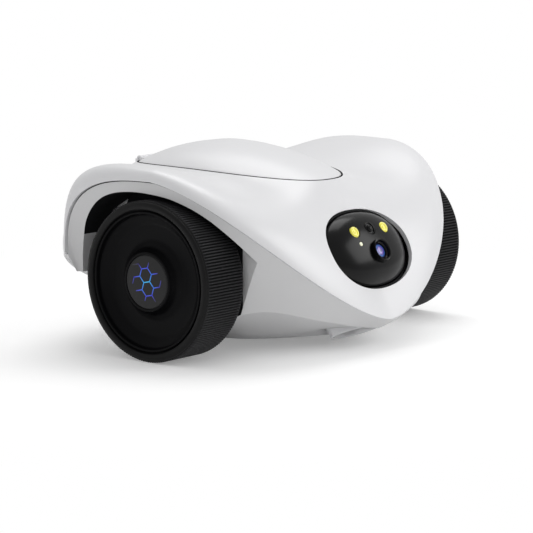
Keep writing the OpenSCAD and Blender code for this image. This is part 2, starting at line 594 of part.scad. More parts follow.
// One gear: straight from its root to the base circle, then the involute in three steps
module spur_gear(teeth, h, bore) {
    rp = gear_m * teeth / 2;
    rb = rp * cos(20);
    ra = rp + 0.8 * gear_m;
    rf = rp - 1.25 * gear_m;
    half = 90 / teeth - backlash / rp * 90 / PI + involute(rb, rp);
    radii = [rf, max(rb, rf + 0.01), mix(max(rb, rf + 0.01), ra, 0.5), ra];
    difference() {
        linear_extrude(h) polygon([for (k = [0 : teeth - 1], e = [-1, 1])
            each [for (j = [0 : 3]) let (r = radii[e < 0 ? j : 3 - j],
                a = 360 * k / teeth + e * (half - involute(rb, r))) r * [cos(a), sin(a)]]]);
        translate([0, 0, -1]) cylinder(h = h + 2, r = bore, $fn = 48);
    }
}
centre_gap = gear_m * (gear_teeth + pinion_teeth) / 2;
motor_turn = -31;
motor_y = centre_gap * cos(motor_turn);
motor_z = wheel_r + centre_gap * sin(motor_turn);
gear_x = 57;
// In the gears' own plane +X is down and +Y is the back, so the pinion lies at this angle
gear_turn = 90 + motor_turn;
module left_plane(x, y, z) translate([-x, y, z]) rotate([0, 90, 0]) children();
module drive_gear_left() on_floor() color("ivory") left_plane(gear_x + gear_w, 0, wheel_r)
    rotate([0, 0, gear_turn]) spur_gear(gear_teeth, gear_w, axle_d / 2 + 0.02);
motor_shaft_r = 1.5;
motor_boss_r = 5;
pinion_x = gear_x + gear_w + 0.5;
module motor_pinion_left() on_floor() color("goldenrod") left_plane(pinion_x, motor_y, motor_z) {
    rotate([0, 0, gear_turn + 180 + 180 / pinion_teeth])
        spur_gear(pinion_teeth, gear_w + 1, motor_shaft_r - 0.1);
    cylinder(h = pinion_x - bracket_x + 4, r = motor_shaft_r, $fn = 32);
}
module motor_left() on_floor() color("silver") translate([0, motor_y, motor_z]) difference() {
    union() {
        rod_x(-bracket_x + 0.05, -bracket_x + motor_l + 0.3, motor_d / 2);
        rod_x(-bracket_x + motor_l, -bracket_x + motor_l + 2.2, motor_boss_r);
    }
    rod_x(-bracket_x - 1, -bracket_x + 5, motor_shaft_r + run_gap);
}
bracket_t = 2;
module motor_bracket_left() on_floor() color("gray") left_plane(bracket_x + bracket_t, 0, 0) difference() {
    union() {
        linear_extrude(bracket_t) polygon([[-wheel_r - 5, -5], [-wheel_r - 5, 5],
            [-motor_z - 8, motor_y + 3], [-motor_z, motor_y + 9],
            [-belly_z - tub_t - 0.05, motor_y + 9], [-belly_z - tub_t - 0.05, -7], [-wheel_r, -7]]);
        translate([-wheel_r, 0, 0]) cylinder(h = bracket_t, r = 7, $fn = 48);
    }
    translate([-wheel_r, 0, -1]) cylinder(h = 9, r = axle_d / 2 + run_gap, $fn = 48);
    translate([-motor_z, motor_y, -1]) cylinder(h = 9, r = motor_shaft_r + 0.7, $fn = 48);
}
module axle_bush_left() on_floor() color("goldenrod") at_axle() difference() {
    union() {
        rod_x(-well_wall + tub_t + 0.05, -well_wall + tub_t + 2, bush_d / 2 + 2.5);
        rod_x(-well_wall - 1, -well_wall + tub_t + 1, bush_d / 2);
    }
    rod_x(-well_wall - 5, -well_wall + 9, axle_d / 2 + run_gap);
}
module tyre_right() right_hand() tyre_left();
module rim_right() right_hand() rim_left();
module hub_cap_right() right_hand() hub_cap_left();
module axle_right() right_hand() axle_left();
module drive_gear_right() right_hand() drive_gear_left();
module axle_bush_right() right_hand() axle_bush_left();
module motor_right() right_hand() motor_left();
module motor_pinion_right() right_hand() motor_pinion_left();
module motor_bracket_right() right_hand() motor_bracket_left();

// ---- power and boards ----
battery_z = caster_top + tub_t + 2;
module battery_pack() on_floor() color("dodgerblue") translate([0, 58, battery_z]) bar([66, 40, 15], 3);
module main_board() on_floor() color("darkgreen") difference() {
    translate([0, (post_ys[0] + post_ys[1]) / 2, board_z]) {
        bar([2 * post_x + post_d, post_ys[1] - post_ys[0] + post_d, board_t], 2);
        // The processor and the radio under their cans
        translate([-20, 2, 0]) bar([16, 16, board_t + 2.4], 0.5);
        translate([12, -4, 0]) bar([12, 10, board_t + 1.8], 0.5);
    }
    at_posts() translate([0, 0, board_z - 1]) cylinder(h = 9, d = screw_d + 0.4, $fn = 24);
}
module screw(length, head_d = 5.4) {
    cylinder(h = 1.6, d1 = head_d, d2 = head_d - 0.8, $fn = 32);
    translate([0, 0, -length]) cylinder(h = length + 0.1, d = screw_d, $fn = 24);
}
module board_screws() on_floor() color("silver") at_posts() translate([0, 0, board_z + board_t + 0.05])
    screw(6);
module base_screws() on_floor() color("silver") at_base_posts()
    translate([0, 0, base_post_top - 3.05]) mirror([0, 0, 1]) screw(12);
module speaker() on_floor() color([0.15, 0.15, 0.15]) translate([0, speaker_y, belly_z + tub_t + 0.05]) {
    cylinder(h = 3, d = speaker_d, $fn = 64);
    translate([0, 0, 3]) cylinder(h = 3.5, d = speaker_d * 0.55, $fn = 64);
}
module charge_port() on_floor() color("silver") at_tail(port_t, -8.5) difference() {
    linear_extrude(8) polygon(oval(port_w, port_h, 4, 24));
    translate([0, 0, 1.5]) linear_extrude(9) polygon(oval(port_w - 1.2, port_h - 1.2, 4, 24));
}
module power_button() on_floor() color("lightgrey") at_tail(button_t) {
    translate([0, 0, -4.5]) cylinder(h = 5.3, d = button_d, $fn = 48);
    translate([0, 0, -5.5]) cylinder(h = 1.2, d = button_d + 3, $fn = 48);
}

// ---- tail caster ----
stem_r = 4;
module at_caster() translate([0, caster_reach, 0]) children();
module caster_socket() on_floor() color("goldenrod") at_caster() translate([0, 0, caster_top - 1.5])
    difference() {
        union() {
            cylinder(h = 1.3, d = bearing_d + 4, $fn = 48);
            cylinder(h = tub_t + 1.5, d = bearing_d, $fn = 48);
        }
        translate([0, 0, -1]) cylinder(h = 9, r = stem_r + run_gap, $fn = 48);
    }
fork_gap = 0.4;
fork_t = 1.8;
fork_top = caster_top - fork_t;
cheek_r = 3.4;
caster_pin_r = 1.5;
module at_roller() at_caster() translate([0, caster_trail, caster_d / 2]) children();
module caster_fork() on_floor() color("dimgray") difference() {
    union() {
        at_caster() {
            translate([0, 0, fork_top - fork_t]) cylinder(h = fork_t, r = 2 * stem_r, $fn = 48);
            translate([0, 0, fork_top - 0.1])
                cylinder(h = caster_top + tub_t - 0.4 - fork_top, r = stem_r, $fn = 48);
            for (m = [0, 1]) mirror([m, 0, 0]) translate([caster_w / 2 + fork_gap, 0, 0])
                rotate([90, 0, 90]) linear_extrude(fork_t) polygon([
                    [caster_trail - cheek_r, caster_d / 2], [caster_trail + cheek_r, caster_d / 2],
                    [stem_r + 1, fork_top - 0.4], [-stem_r - 1, fork_top - 0.4]]);
        }
        at_roller() for (m = [0, 1]) mirror([m, 0, 0])
            along_x(caster_w / 2 + fork_gap) cylinder(h = fork_t, r = cheek_r, $fn = 32);
    }
    at_roller() rod_x(-20, 20, caster_pin_r + run_gap);
}
module caster_axle() on_floor() color("silver") at_roller()
    rod_x(-caster_w / 2 - fork_gap - fork_t, caster_w / 2 + fork_gap + fork_t, caster_pin_r);
module caster_roller() on_floor() color([0.1, 0.1, 0.1]) at_roller() along_x(-caster_w / 2) difference() {
    rotate_extrude($fn = 64) polygon([[1, 0], [caster_d / 2 - 1, 0], [caster_d / 2, 1],
        [caster_d / 2, caster_w - 1], [caster_d / 2 - 1, caster_w], [1, caster_w]]);
    translate([0, 0, -1]) cylinder(h = caster_w + 2, r = caster_pin_r + run_gap, $fn = 48);
}

upper_shell();
lower_tub();
hopper_lid();
lid_seal();
lid_hinge_pin();
lid_hinge_bracket();
hopper_bin();
dispenser_housing();
treat_rotor();
rotor_motor();
treat_chute();
outlet_lip();
eye_bezel();
eye_faceplate();
lens_barrel();
lens_glass();
lamp_left();
lamp_right();
presence_sensor();
status_lamp();
camera_board();
tyre_left();
rim_left();
hub_cap_left();
axle_left();
drive_gear_left();
tyre_right();
rim_right();
hub_cap_right();
axle_right();
drive_gear_right();
axle_bush_left();
axle_bush_right();
motor_left();
motor_right();
motor_pinion_left();
motor_pinion_right();
motor_bracket_left();
motor_bracket_right();
battery_pack();
main_board();
speaker();
charge_port();
power_button();
caster_socket();
caster_fork();
caster_axle();
caster_roller();
base_screws();
board_screws();
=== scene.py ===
import math

import bmesh
import bpy
from mathutils import Matrix, Vector


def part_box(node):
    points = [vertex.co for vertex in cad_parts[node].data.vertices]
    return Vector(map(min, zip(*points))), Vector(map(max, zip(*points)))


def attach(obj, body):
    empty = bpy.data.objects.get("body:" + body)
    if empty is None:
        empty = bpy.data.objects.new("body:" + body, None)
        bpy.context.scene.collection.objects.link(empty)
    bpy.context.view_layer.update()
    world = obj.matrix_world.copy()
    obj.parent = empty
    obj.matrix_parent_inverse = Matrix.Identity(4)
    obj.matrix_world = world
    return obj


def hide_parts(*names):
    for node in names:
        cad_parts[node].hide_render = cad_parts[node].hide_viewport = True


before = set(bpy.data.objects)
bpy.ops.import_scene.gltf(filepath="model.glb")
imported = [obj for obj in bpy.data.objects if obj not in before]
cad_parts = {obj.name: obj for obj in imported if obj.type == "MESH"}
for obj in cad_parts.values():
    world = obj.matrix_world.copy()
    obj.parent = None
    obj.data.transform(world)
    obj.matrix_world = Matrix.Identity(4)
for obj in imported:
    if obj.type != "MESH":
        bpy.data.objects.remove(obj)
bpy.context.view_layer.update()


# ---- The view ----
# The camera stands low at the front left, far back with a long lens, so that the body keeps its
# true proportions. The floor is a pale sheet of paper under soft lamps overhead.
MM = 0.001
wheel_low, wheel_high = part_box("tyre_left")
axle_y = (wheel_low.y + wheel_high.y) / 2 / MM      # the axle line in the frame, in millimetres
wheel_r = (wheel_high.z - wheel_low.z) / 2 / MM
side_x = -wheel_low.x / MM
tyre_w = (wheel_high.x - wheel_low.x) / MM

FRAME_PX = 533
SENSOR_MM = 36
camera_turn = math.radians(-51)
camera_height = math.radians(8.5)
camera_distance = 1.290
focal_px = 2411
centre_px = (281.6, 257.5)      # where the camera's own axis meets the picture


def place(x, y, z):
    """A point measured in millimetres from the axle line and the floor, in the frame's metres."""
    return Vector((x, y + axle_y, z)) * MM


def show(name, data):
    """A new object in the scene with this data."""
    made = bpy.data.objects.new(name, data)
    bpy.context.collection.objects.link(made)
    return made


aim = place(0, 0, wheel_r)
away = Vector((math.sin(camera_turn) * math.cos(camera_height),
               -math.cos(camera_turn) * math.cos(camera_height), math.sin(camera_height)))
camera = show("camera", bpy.data.cameras.new("camera"))
camera.location = aim + away * camera_distance
camera.rotation_euler = (-away).to_track_quat("-Z", "Y").to_euler()
camera.data.sensor_width = SENSOR_MM
camera.data.lens = focal_px / FRAME_PX * SENSOR_MM
camera.data.shift_x = (FRAME_PX / 2 - centre_px[0]) / FRAME_PX
camera.data.shift_y = (centre_px[1] - FRAME_PX / 2) / FRAME_PX
bpy.context.scene.camera = camera
bpy.context.scene.view_settings.view_transform = "Standard"


def linear(code):
    """An sRGB hex colour as the linear RGBA that a shader's socket takes."""
    parts = [int(code[i:i + 2], 16) / 255 for i in (1, 3, 5)]
    return [c / 12.92 if c <= 0.04045 else ((c + 0.055) / 1.055) ** 2.4 for c in parts] + [1]


def add(tree, kind, inputs=None, **settings):
    """Adds a shader node: settings are its own, inputs its sockets' values or what feeds them."""
    made = tree.nodes.new("ShaderNode" + kind)
    for name, value in settings.items():
        setattr(made, name, value)
    for socket, value in (inputs or {}).items():
        if isinstance(value, bpy.types.NodeSocket):
            tree.links.new(value, made.inputs[socket])
        else:
            made.inputs[socket].default_value = value
    return made


def begin_material(name, **inputs):
    """A new material with one Principled shader, and that shader's values."""
    made = bpy.data.materials.new(name)
    made.use_nodes = True
    tree = made.node_tree
    tree.nodes.clear()
    shader = add(tree, "BsdfPrincipled", {k.replace("_", " "): v for k, v in inputs.items()})
    tree.links.new(shader.outputs[0], add(tree, "OutputMaterial").inputs[0])
    return made, tree, shader


def vector(tree, operation, *inputs):
    """A vector worked out from others, or a value for a length or a product."""
    made = add(tree, "VectorMath", dict(enumerate(inputs)), operation=operation)
    return made.outputs["Value" if operation in ("LENGTH", "DOT_PRODUCT") else "Vector"]


def met_by(tree, *rays):
    """1 where one of the named kinds of ray meets the surface, else 0."""
    path = add(tree, "LightPath")
    met = path.outputs[rays[0]]
    for ray in rays[1:]:
        met = add(tree, "Math", {0: met, 1: path.outputs[ray]}, operation="MAXIMUM").outputs[0]
    return met


FLOOR_HALF = 6.0            # metres from the middle of the sheet to its edges
FADE = (0.12, 0.33)         # metres from the middle over which the paper runs into plain white
floor_mesh = bpy.data.meshes.new("paper floor")
floor_mesh.from_pydata([(x * FLOOR_HALF, y * FLOOR_HALF, 0)
                        for x, y in ((-1, -1), (1, -1), (1, 1), (-1, 1))], [], [(0, 1, 2, 3)])
show("paper_floor", floor_mesh)

# Matt white paper: it keeps the shadow, and the camera and every reflection see it a little
# lifted, so that it runs into the white behind it.
paper, tree, shader = begin_material(
    "matt white paper", Base_Color=linear("#F0F0F0"), Roughness=0.9)
lift = add(tree, "Emission", {"Color": (1, 1, 1, 1), "Strength": 0.24})
near = add(tree, "AddShader", {0: shader.outputs[0], 1: lift.outputs[0]})
far = add(tree, "Emission", {"Color": (1, 1, 1, 1), "Strength": 1.0})
reach = vector(tree, "LENGTH", add(tree, "TexCoord").outputs["Object"])
fade = add(tree, "MapRange", {"Value": reach, "From Min": FADE[0], "From Max": FADE[1]},
           interpolation_type="SMOOTHSTEP")
both = add(tree, "MixShader", {0: fade.outputs[0], 1: near.outputs[0], 2: far.outputs[0]})
seen = met_by(tree, "Is Camera Ray", "Is Glossy Ray", "Is Transmission Ray")
seen_floor = add(tree, "MixShader", {0: seen, 1: shader.outputs[0], 2: both.outputs[0]})
tree.links.new(seen_floor.outputs[0], tree.nodes["Material Output"].inputs[0])
floor_mesh.materials.append(paper)

# The room gives even soft light, and is plain white to the camera
sky = bpy.data.worlds.new("white studio")
sky.use_nodes = True
bpy.context.scene.world = sky
tree = sky.node_tree
tree.nodes.clear()
soft = add(tree, "Background", {"Color": (1, 1, 1, 1), "Strength": 0.6})
white = add(tree, "Background", {"Color": (1, 1, 1, 1), "Strength": 1.0})
seen = met_by(tree, "Is Camera Ray", "Is Transmission Ray")
studio = add(tree, "MixShader", {0: seen, 1: soft.outputs[0], 2: white.outputs[0]})
tree.links.new(studio.outputs[0], add(tree, "OutputWorld").inputs[0])


def add_lamp(name, position, width, depth, power):
    """A soft box at a place in metres, turned to the camera body's middle."""
    light = bpy.data.lights.new(name, "AREA")
    light.shape = "RECTANGLE"
    light.size, light.size_y, light.energy = width, depth, power
    lamp = show(name, light)
    lamp.location = position
    lamp.rotation_euler = (Vector(position) - aim).to_track_quat("Z", "Y").to_euler()


add_lamp("overhead_soft_box", (0.42, 0.3, 1.25), 1.1, 0.8, 6.6)
add_lamp("front_soft_box", (0.85, -1.0, 0.7), 0.9, 0.7, 5.6)


# ---- Upper shell ----
# One injection moulding in white ABS that runs from the nose over both wheels to the tail, in
# polished tools. It snaps and screws onto the tub along a long S-shaped edge.
shell_half = 104.5      # from the middle to the side edge
nose_reach = 74.0       # from the axle line forward to the nose's edge, and back to the tail's
tail_reach = 93.0
fender_reach = 59.5     # from the axle line back to the end of the wheel's cover
nose_z = 16.0           # heights of the edge at the nose, the tail, over the wheel and behind it
tail_z = 17.0
arch_z = 91.0
fender_z = 50.0
shell_t = 2.4
lid_w = 76.0
lid_front = 33.0
lid_back = 88.0
lid_mid = 35.0
seam_top = 90.0
seam_peak = 53.0        # where along the body the lid's seam stands highest
EDGE_STEPS = 360        # round the shell, so one step is about 1.6 mm
RIB_STEPS = 64
OVER_WHEEL, BEHIND_WHEEL, TAIL = 80, 130, 180       # counts round the body, from the nose at 0
NOSE_ROUND, ARCH_ROUND, TAIL_ROUND = 0.97, 0.67, 0.9    # powers that round the edge's outline
CLIMB, CLIMB_SHARE = 1.5, 0.94      # how the edge climbs from the nose to the wheel's top
SWEEP, SINK = 1.6, 1.5              # how it runs back and sinks from the wheel to the tail
SEAM_FALL = ((4.5, 86), (1.2, 35))  # the lid's seam: its fall and over what length, front and back
SEAM_ROUND = (0.87, 0.72)           # and the powers of its egg shape, front and back
# How far a rib's two inner points stand from its ends, in mm: at the nose, the wheel and the tail
LOW_OUT, HIGH_OUT = (8.5, 1.5, -4), (15, 26, 12)
LOW_UP, HIGH_DOWN = (22, 17), (15.5, 3)     # at the nose and the wheel
DIPS = ((5.5, 54, 17), (6, 106, 20))    # shallow dips: depth in mm, count round the body, spread


def mix(a, b, k):
    return a + (b - a) * k


def sine(degrees):
    return math.sin(math.radians(degrees))


def cosine(degrees):
    return math.cos(math.radians(degrees))


def power(value, exponent):
    return max(value, 0) ** exponent


def quarter(s, start, end):
    """How far the count s has come from start to end, as part of a quarter turn in degrees."""
    return (s - start) * 90 / (end - start)


def edge(s):
    """The shell's lower edge, from the nose over the wheel and behind it to the tail."""
    if s <= OVER_WHEEL:
        f = quarter(s, 0, OVER_WHEEL)
        climb = power(sine(CLIMB_SHARE * f) / sine(CLIMB_SHARE * 90), CLIMB)
        return Vector((shell_half * power(sine(f), NOSE_ROUND),
                       -nose_reach * power(cosine(f), NOSE_ROUND),
                       nose_z + (arch_z - nose_z) * climb))
    if s <= BEHIND_WHEEL:
        f = quarter(s, OVER_WHEEL, BEHIND_WHEEL)
        return Vector((shell_half, fender_reach * power(sine(f), ARCH_ROUND),
                       fender_z + (arch_z - fender_z) * power(cosine(f), ARCH_ROUND)))
    f = quarter(s, BEHIND_WHEEL, TAIL)
    return Vector((shell_half * power(cosine(f), TAIL_ROUND),
                   mix(fender_reach, tail_reach, power(sine(f), SWEEP)),
                   mix(tail_z, fender_z, power(cosine(f), SINK))))


def seam_z(y):
    """The height of the lid's seam: it falls a little to the front and to the back."""
    fall, length = SEAM_FALL[0] if y < seam_peak else SEAM_FALL[1]
    return seam_top - fall * ((y - seam_peak) / length) ** 2


def seam(s, grow=0.0):
    """The lid's egg-shaped opening, at the same count round the body as the edge."""
    if s < 90:
        roundness = SEAM_ROUND[0]
        y = lid_mid - (lid_mid + lid_front + grow) * power(cosine(s), roundness)
    else:
        roundness = SEAM_ROUND[1]
        y = lid_mid + (lid_back - lid_mid + grow) * power(-cosine(s), roundness)
    return Vector(((lid_w / 2 + grow) * power(sine(s), roundness), y, seam_z(y)))


def rib(s, t):
    """The shell's surface: a cubic curve from the edge (t = 0) up to the lid's seam (t = 1)."""
    over = power(sine(quarter(s, 0, OVER_WHEEL)), 1.3) if s < OVER_WHEEL else 1
    behind = 0 if s < OVER_WHEEL else (
        sine(quarter(s, OVER_WHEEL, BEHIND_WHEEL)) if s < BEHIND_WHEEL else 1)
    tail = 0 if s < BEHIND_WHEEL else power(sine(quarter(s, BEHIND_WHEEL, TAIL)), 1.5)
    a, d = edge(s), seam(s)
    out = Vector((d.x - a.x, d.y - a.y, 0)).normalized() * -1
    low_out, high_out = (mix(mix(nose, wheel, over), back, tail)
                         for nose, wheel, back in (LOW_OUT, HIGH_OUT))
    low_up = mix(*LOW_UP, over) + 11 * behind - 6 * tail
    dip = sum(depth * math.exp(-((s - at) / wide) ** 2) for depth, at, wide in DIPS)
    high_down = mix(*HIGH_DOWN, over) + 1.5 * tail + dip
    b = a - out * low_out + Vector((0, 7 * behind, low_up))
    c = d + out * high_out - Vector((0, 0, high_down))
    return (1 - t) ** 3 * a + 3 * t * (1 - t) ** 2 * b + 3 * t * t * (1 - t) * c + t ** 3 * d


def around(count):
    """The count s round the body and the side it is on, for each of count places."""
    for i in range(count):
        s = 360 * i / count
        yield (s, 1) if s <= 180 else (360 - s, -1)


def loft(name, rings, closed_ends=False, tube=False):
    """A mesh object of quads through rings of points, which are already in the frame's metres."""
    n = len(rings[0])
    faces = []
    for j in range(len(rings) - (0 if tube else 1)):
        up = (j + 1) % len(rings)
        for i in range(n):
            k = (i + 1) % n
            faces.append((j * n + i, j * n + k, up * n + k, up * n + i))
    if closed_ends:
        faces.append(tuple(range(n - 1, -1, -1)))
        faces.append(tuple(range((len(rings) - 1) * n, len(rings) * n)))
    mesh = bpy.data.meshes.new(name)
    mesh.from_pydata([p for ring in rings for p in ring], [], faces)
    mesh.update()
    return show(name, mesh)


def smooth(piece, angle=40):
    """Smooth shading, with a sharp edge wherever two faces meet at more than the angle."""
    piece.data.shade_smooth()
    piece.data.set_sharp_from_angle(angle=math.radians(angle))
    return piece


def apply_modifiers(piece):
    """Turns the piece's modifiers into its mesh."""
    graph = bpy.context.evaluated_depsgraph_get()
    finished = bpy.data.meshes.new_from_object(piece.evaluated_get(graph))
    piece.modifiers.clear()
    piece.data = finished
    return piece


def cut(piece, cutter):
    """Cuts one piece with another and removes the other."""
    step = piece.modifiers.new("cut", "BOOLEAN")
    step.object, step.operation, step.solver = cutter, "DIFFERENCE", "EXACT"
    apply_modifiers(piece)
    bpy.data.objects.remove(cutter)


def oval(width, height, squareness=2.2, count=96):
    """Points of an oval, as pairs; a squareness of 2 is an ellipse and more is fuller."""
    def bend(value):
        return math.copysign(abs(value) ** (2 / squareness), value)

    angles = [2 * math.pi * i / count for i in range(count)]
    return [(width / 2 * bend(math.cos(a)), height / 2 * bend(math.sin(a))) for a in angles]


eye_w = 66.0
eye_h = 45.0
eye_tilt = 28.0
eye_centre = Vector((0, -56.5, 51))
eye_up = Vector((0, sine(eye_tilt), cosine(eye_tilt)))
eye_out = Vector((0, -cosine(eye_tilt), sine(eye_tilt)))
eye_square = 2.2            # the oval's squareness
NEAR_EYE = (-22, 15)        # only the shell this far in and out of the eye's face is opened


def on_eye(u, v, w):
    """A place by the eye's own axes: across, up along its sloping face, and out of it."""
    p = eye_centre + Vector((u, 0, 0)) + eye_up * v + eye_out * w
    return place(p.x, p.y, p.z)


def open_eye(piece):
    """Opens the shell for the eye and draws the cut edge onto a true oval."""
    bm = bmesh.new()
    bm.from_mesh(piece.data)

    def across(point):
        p = point / MM - Vector((0, axle_y, 0)) - eye_centre
        return p.x, p.dot(eye_up), p.dot(eye_out)

    def reach(point):
        """How far the point is from the eye's middle, with the oval at 1."""
        u, v, w = across(point)
        if w < NEAR_EYE[0] or w > NEAR_EYE[1]:
            return 9
        return (abs(2 * u / eye_w) ** eye_square
                + abs(2 * v / eye_h) ** eye_square) ** (1 / eye_square)

    inside = [f for f in bm.faces if reach(f.calc_center_median()) < 1]
    bmesh.ops.delete(bm, geom=inside, context="FACES")
    rim = [v for v in bm.verts
           if any(e.is_boundary for e in v.link_edges) and 0.5 < reach(v.co) < 1.5]
    for v in rim:
        u, height, w = across(v.co)
        k = 1 / reach(v.co)
        shift = Vector((u, 0, 0)) * (k - 1) + eye_up * height * (k - 1)
        normal = v.normal
        shift -= eye_out * shift.dot(normal) / normal.dot(eye_out)
        v.co += shift * MM
    bm.to_mesh(piece.data)
    bm.free()


rings = []
for j in range(RIB_STEPS + 1):
    rings.append([place(side * rib(s, j / RIB_STEPS).x, *rib(s, j / RIB_STEPS).yz)
                  for s, side in around(EDGE_STEPS)])
upper_shell = loft("upper_shell_skin", rings)
open_eye(upper_shell)
wall = upper_shell.modifiers.new("wall", "SOLIDIFY")
wall.thickness, wall.offset, wall.use_even_offset = shell_t * MM, -1, True
apply_modifiers(upper_shell)


def rounded_box(name, low, high, radius):
    """A box between two corners in millimetres from the axle line, with rounded edges."""
    bm = bmesh.new()
    bmesh.ops.create_cube(bm, size=1)
    size = Vector(high) - Vector(low)
    for v in bm.verts:
        v.co = Vector([v.co[i] * size[i] for i in range(3)]) * MM
    if radius:
        bmesh.ops.bevel(bm, geom=bm.edges[:], offset=radius * MM, segments=3, affect="EDGES")
    middle = (Vector(high) + Vector(low)) / 2
    bm.transform(Matrix.Translation(place(*middle)))
    mesh = bpy.data.meshes.new(name)
    bm.to_mesh(mesh)
    bm.free()
    return show(name, mesh)


def at_tail(t):
    """The matrix of a place on the tail's middle line, facing out of the shell."""
    here = rib(TAIL, t)
    along = (rib(TAIL, t + 0.02) - rib(TAIL, t - 0.02)).normalized()
    out = Vector((0, along.z, -along.y))
    across = Vector((-1, 0, 0))
    turned = Matrix((across, across.cross(out) * -1, out)).transposed().to_4x4()
    return Matrix.Translation(place(*here)) @ turned


def stack(name, outline, profile, matrix, closed=True):
    """A turned-like piece on an oval outline: profile is (inset, out) pairs in millimetres."""
    reach_x = max(p[0] for p in outline)
    reach_y = max(p[1] for p in outline)
    rings = []
    for inset, out in profile:
        kx, ky = (reach_x - inset) / reach_x, (reach_y - inset) / reach_y
        rings.append([matrix @ (Vector((p[0] * kx, p[1] * ky, out)) * MM) for p in outline])
    return loft(name, rings, closed_ends=closed)


PORT_T = 0.19           # where the charge port and the power button sit, as the rib's t
BUTTON_T = 0.42
port_w, port_h = 10.6, 5.0
button_d = 10.8
notch_half = 14.3       # the hinge bracket's notch behind the lid
notch_z = (80.8, 94.8)
through = [(0, -5), (0, 5)]
for cutter in (
        stack("port_cutter", oval(port_w, port_h, 4, 48), through, at_tail(PORT_T)),
        stack("button_cutter", oval(button_d, button_d, 2, 64), through, at_tail(BUTTON_T)),
        rounded_box("notch_cutter", (-notch_half, lid_back - 1, notch_z[0]),
                    (notch_half, lid_back + 6, notch_z[1]), 0)):
    cut(upper_shell, cutter)
smooth(upper_shell, 50)


def pattern(tree, size, detail=2.0, stretch=None):
    """A noise pattern on the piece's own coordinates, with its real size in millimetres."""
    spot = add(tree, "TexCoord").outputs["Object"]
    if stretch:
        spot = add(tree, "Mapping", {"Vector": spot, "Scale": stretch}).outputs[0]
    noise = add(tree, "TexNoise", {"Vector": spot, "Scale": 1 / (size * MM), "Detail": detail})
    return noise.outputs[0]


def vary_gloss(tree, shader, share, low, high):
    """Lets the roughness follow a pattern from low to high."""
    gloss = add(tree, "MapRange", {"Value": share, "To Min": low, "To Max": high})
    tree.links.new(gloss.outputs[0], shader.inputs["Roughness"])


def vary_colour(tree, shader, share, dark, light, *others):
    """Lets the base colour, and any other socket named, follow a pattern from dark to light."""
    shade = add(tree, "MixRGB", {0: share, 1: linear(dark), 2: linear(light)})
    for socket in ("Base Color", *others):
        tree.links.new(shade.outputs[0], shader.inputs[socket])


def raise_relief(tree, shader, share, strength, depth):
    """Lets the surface follow a pattern up and down, by a depth in millimetres."""
    bump = add(tree, "Bump", {"Height": share, "Strength": strength, "Distance": depth * MM})
    tree.links.new(bump.outputs[0], shader.inputs["Normal"])


# Polished white ABS, injection moulded: an even satin gloss with a trace of flow ripple
white_abs, tree, shader = begin_material(
    "white ABS, moulded and polished", Base_Color=linear("#E6E6E8"), Roughness=0.34,
    Coat_Weight=0.35, Coat_Roughness=0.26)
ripple = pattern(tree, 9)
vary_gloss(tree, shader, ripple, 0.31, 0.37)
raise_relief(tree, shader, ripple, 0.04, 0.2)


def finish_piece(piece, material, body, slot, *nodes):
    """Gives a piece its material and the body it rides on, and hides the CAD nodes it is for; slot
    is not used.
    """
    piece.data.materials.clear()
    piece.data.materials.append(material)
    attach(piece, body)
    if nodes:
        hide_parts(*nodes)


finish_piece(upper_shell, white_abs, "chassis", "white_shell", "upper_shell")


# ---- Lower tub ----
# The tub carries the drive, the battery and the boards. It is moulded in pale grey ABS with a fine
# spark-eroded texture, and hangs half a millimetre under the shell's edge.
tub_inset = 1.3
seam_gap = 0.55         # the shadow line between the shell's edge and the tub
tub_t = 2.2
belly_z = 6.0
skirt_z = 12.0
arch_gap = 3.0
well_wall = side_x - tyre_w - 3
well_r = wheel_r + arch_gap
caster_reach = 58.0
caster_pocket_r = 15.5
caster_top = 19.0
TUB_STEPS = 240
UNDERCUT = (125, 175)   # counts round the body between which the wall is drawn in behind the wheel
CREASE_IN = (8.7, 7.9, 11.3, 12.9, 14.4)        # the crease's inset from the nose to the wheel
CREASE_UP = (10.2, 17.9, 25.1, 21.4, 17.7)      # and its height
BEND = (0.93, 0.04)     # where the wall bends round the crease, below and above it


def pulled_in(p, inset, z):
    """A point of the edge's outline drawn in towards the axle line, at its own height."""
    ahead = nose_reach if p.y < 0 else tail_reach
    return Vector((p.x * (1 - inset / shell_half), p.y * (1 - inset / ahead), z))


def spread(values, k):
    """A smooth curve through evenly spaced values, for k from 0 to 1."""
    k = min(max(k, 0), 1) * (len(values) - 1)
    i = min(int(k), len(values) - 2)
    f = k - i
    before, after = values[max(i - 1, 0)], values[min(i + 2, len(values) - 1)]
    slope_a, slope_b = (values[i + 1] - before) / 2, (after - values[i]) / 2
    return ((2 * f ** 3 - 3 * f * f + 1) * values[i] + (f ** 3 - 2 * f * f + f) * slope_a
            + (3 * f * f - 2 * f ** 3) * values[i + 1] + (f ** 3 - f * f) * slope_b)


def mix_pair(a, b, k):
    return mix(a[0], b[0], k), mix(a[1], b[1], k)


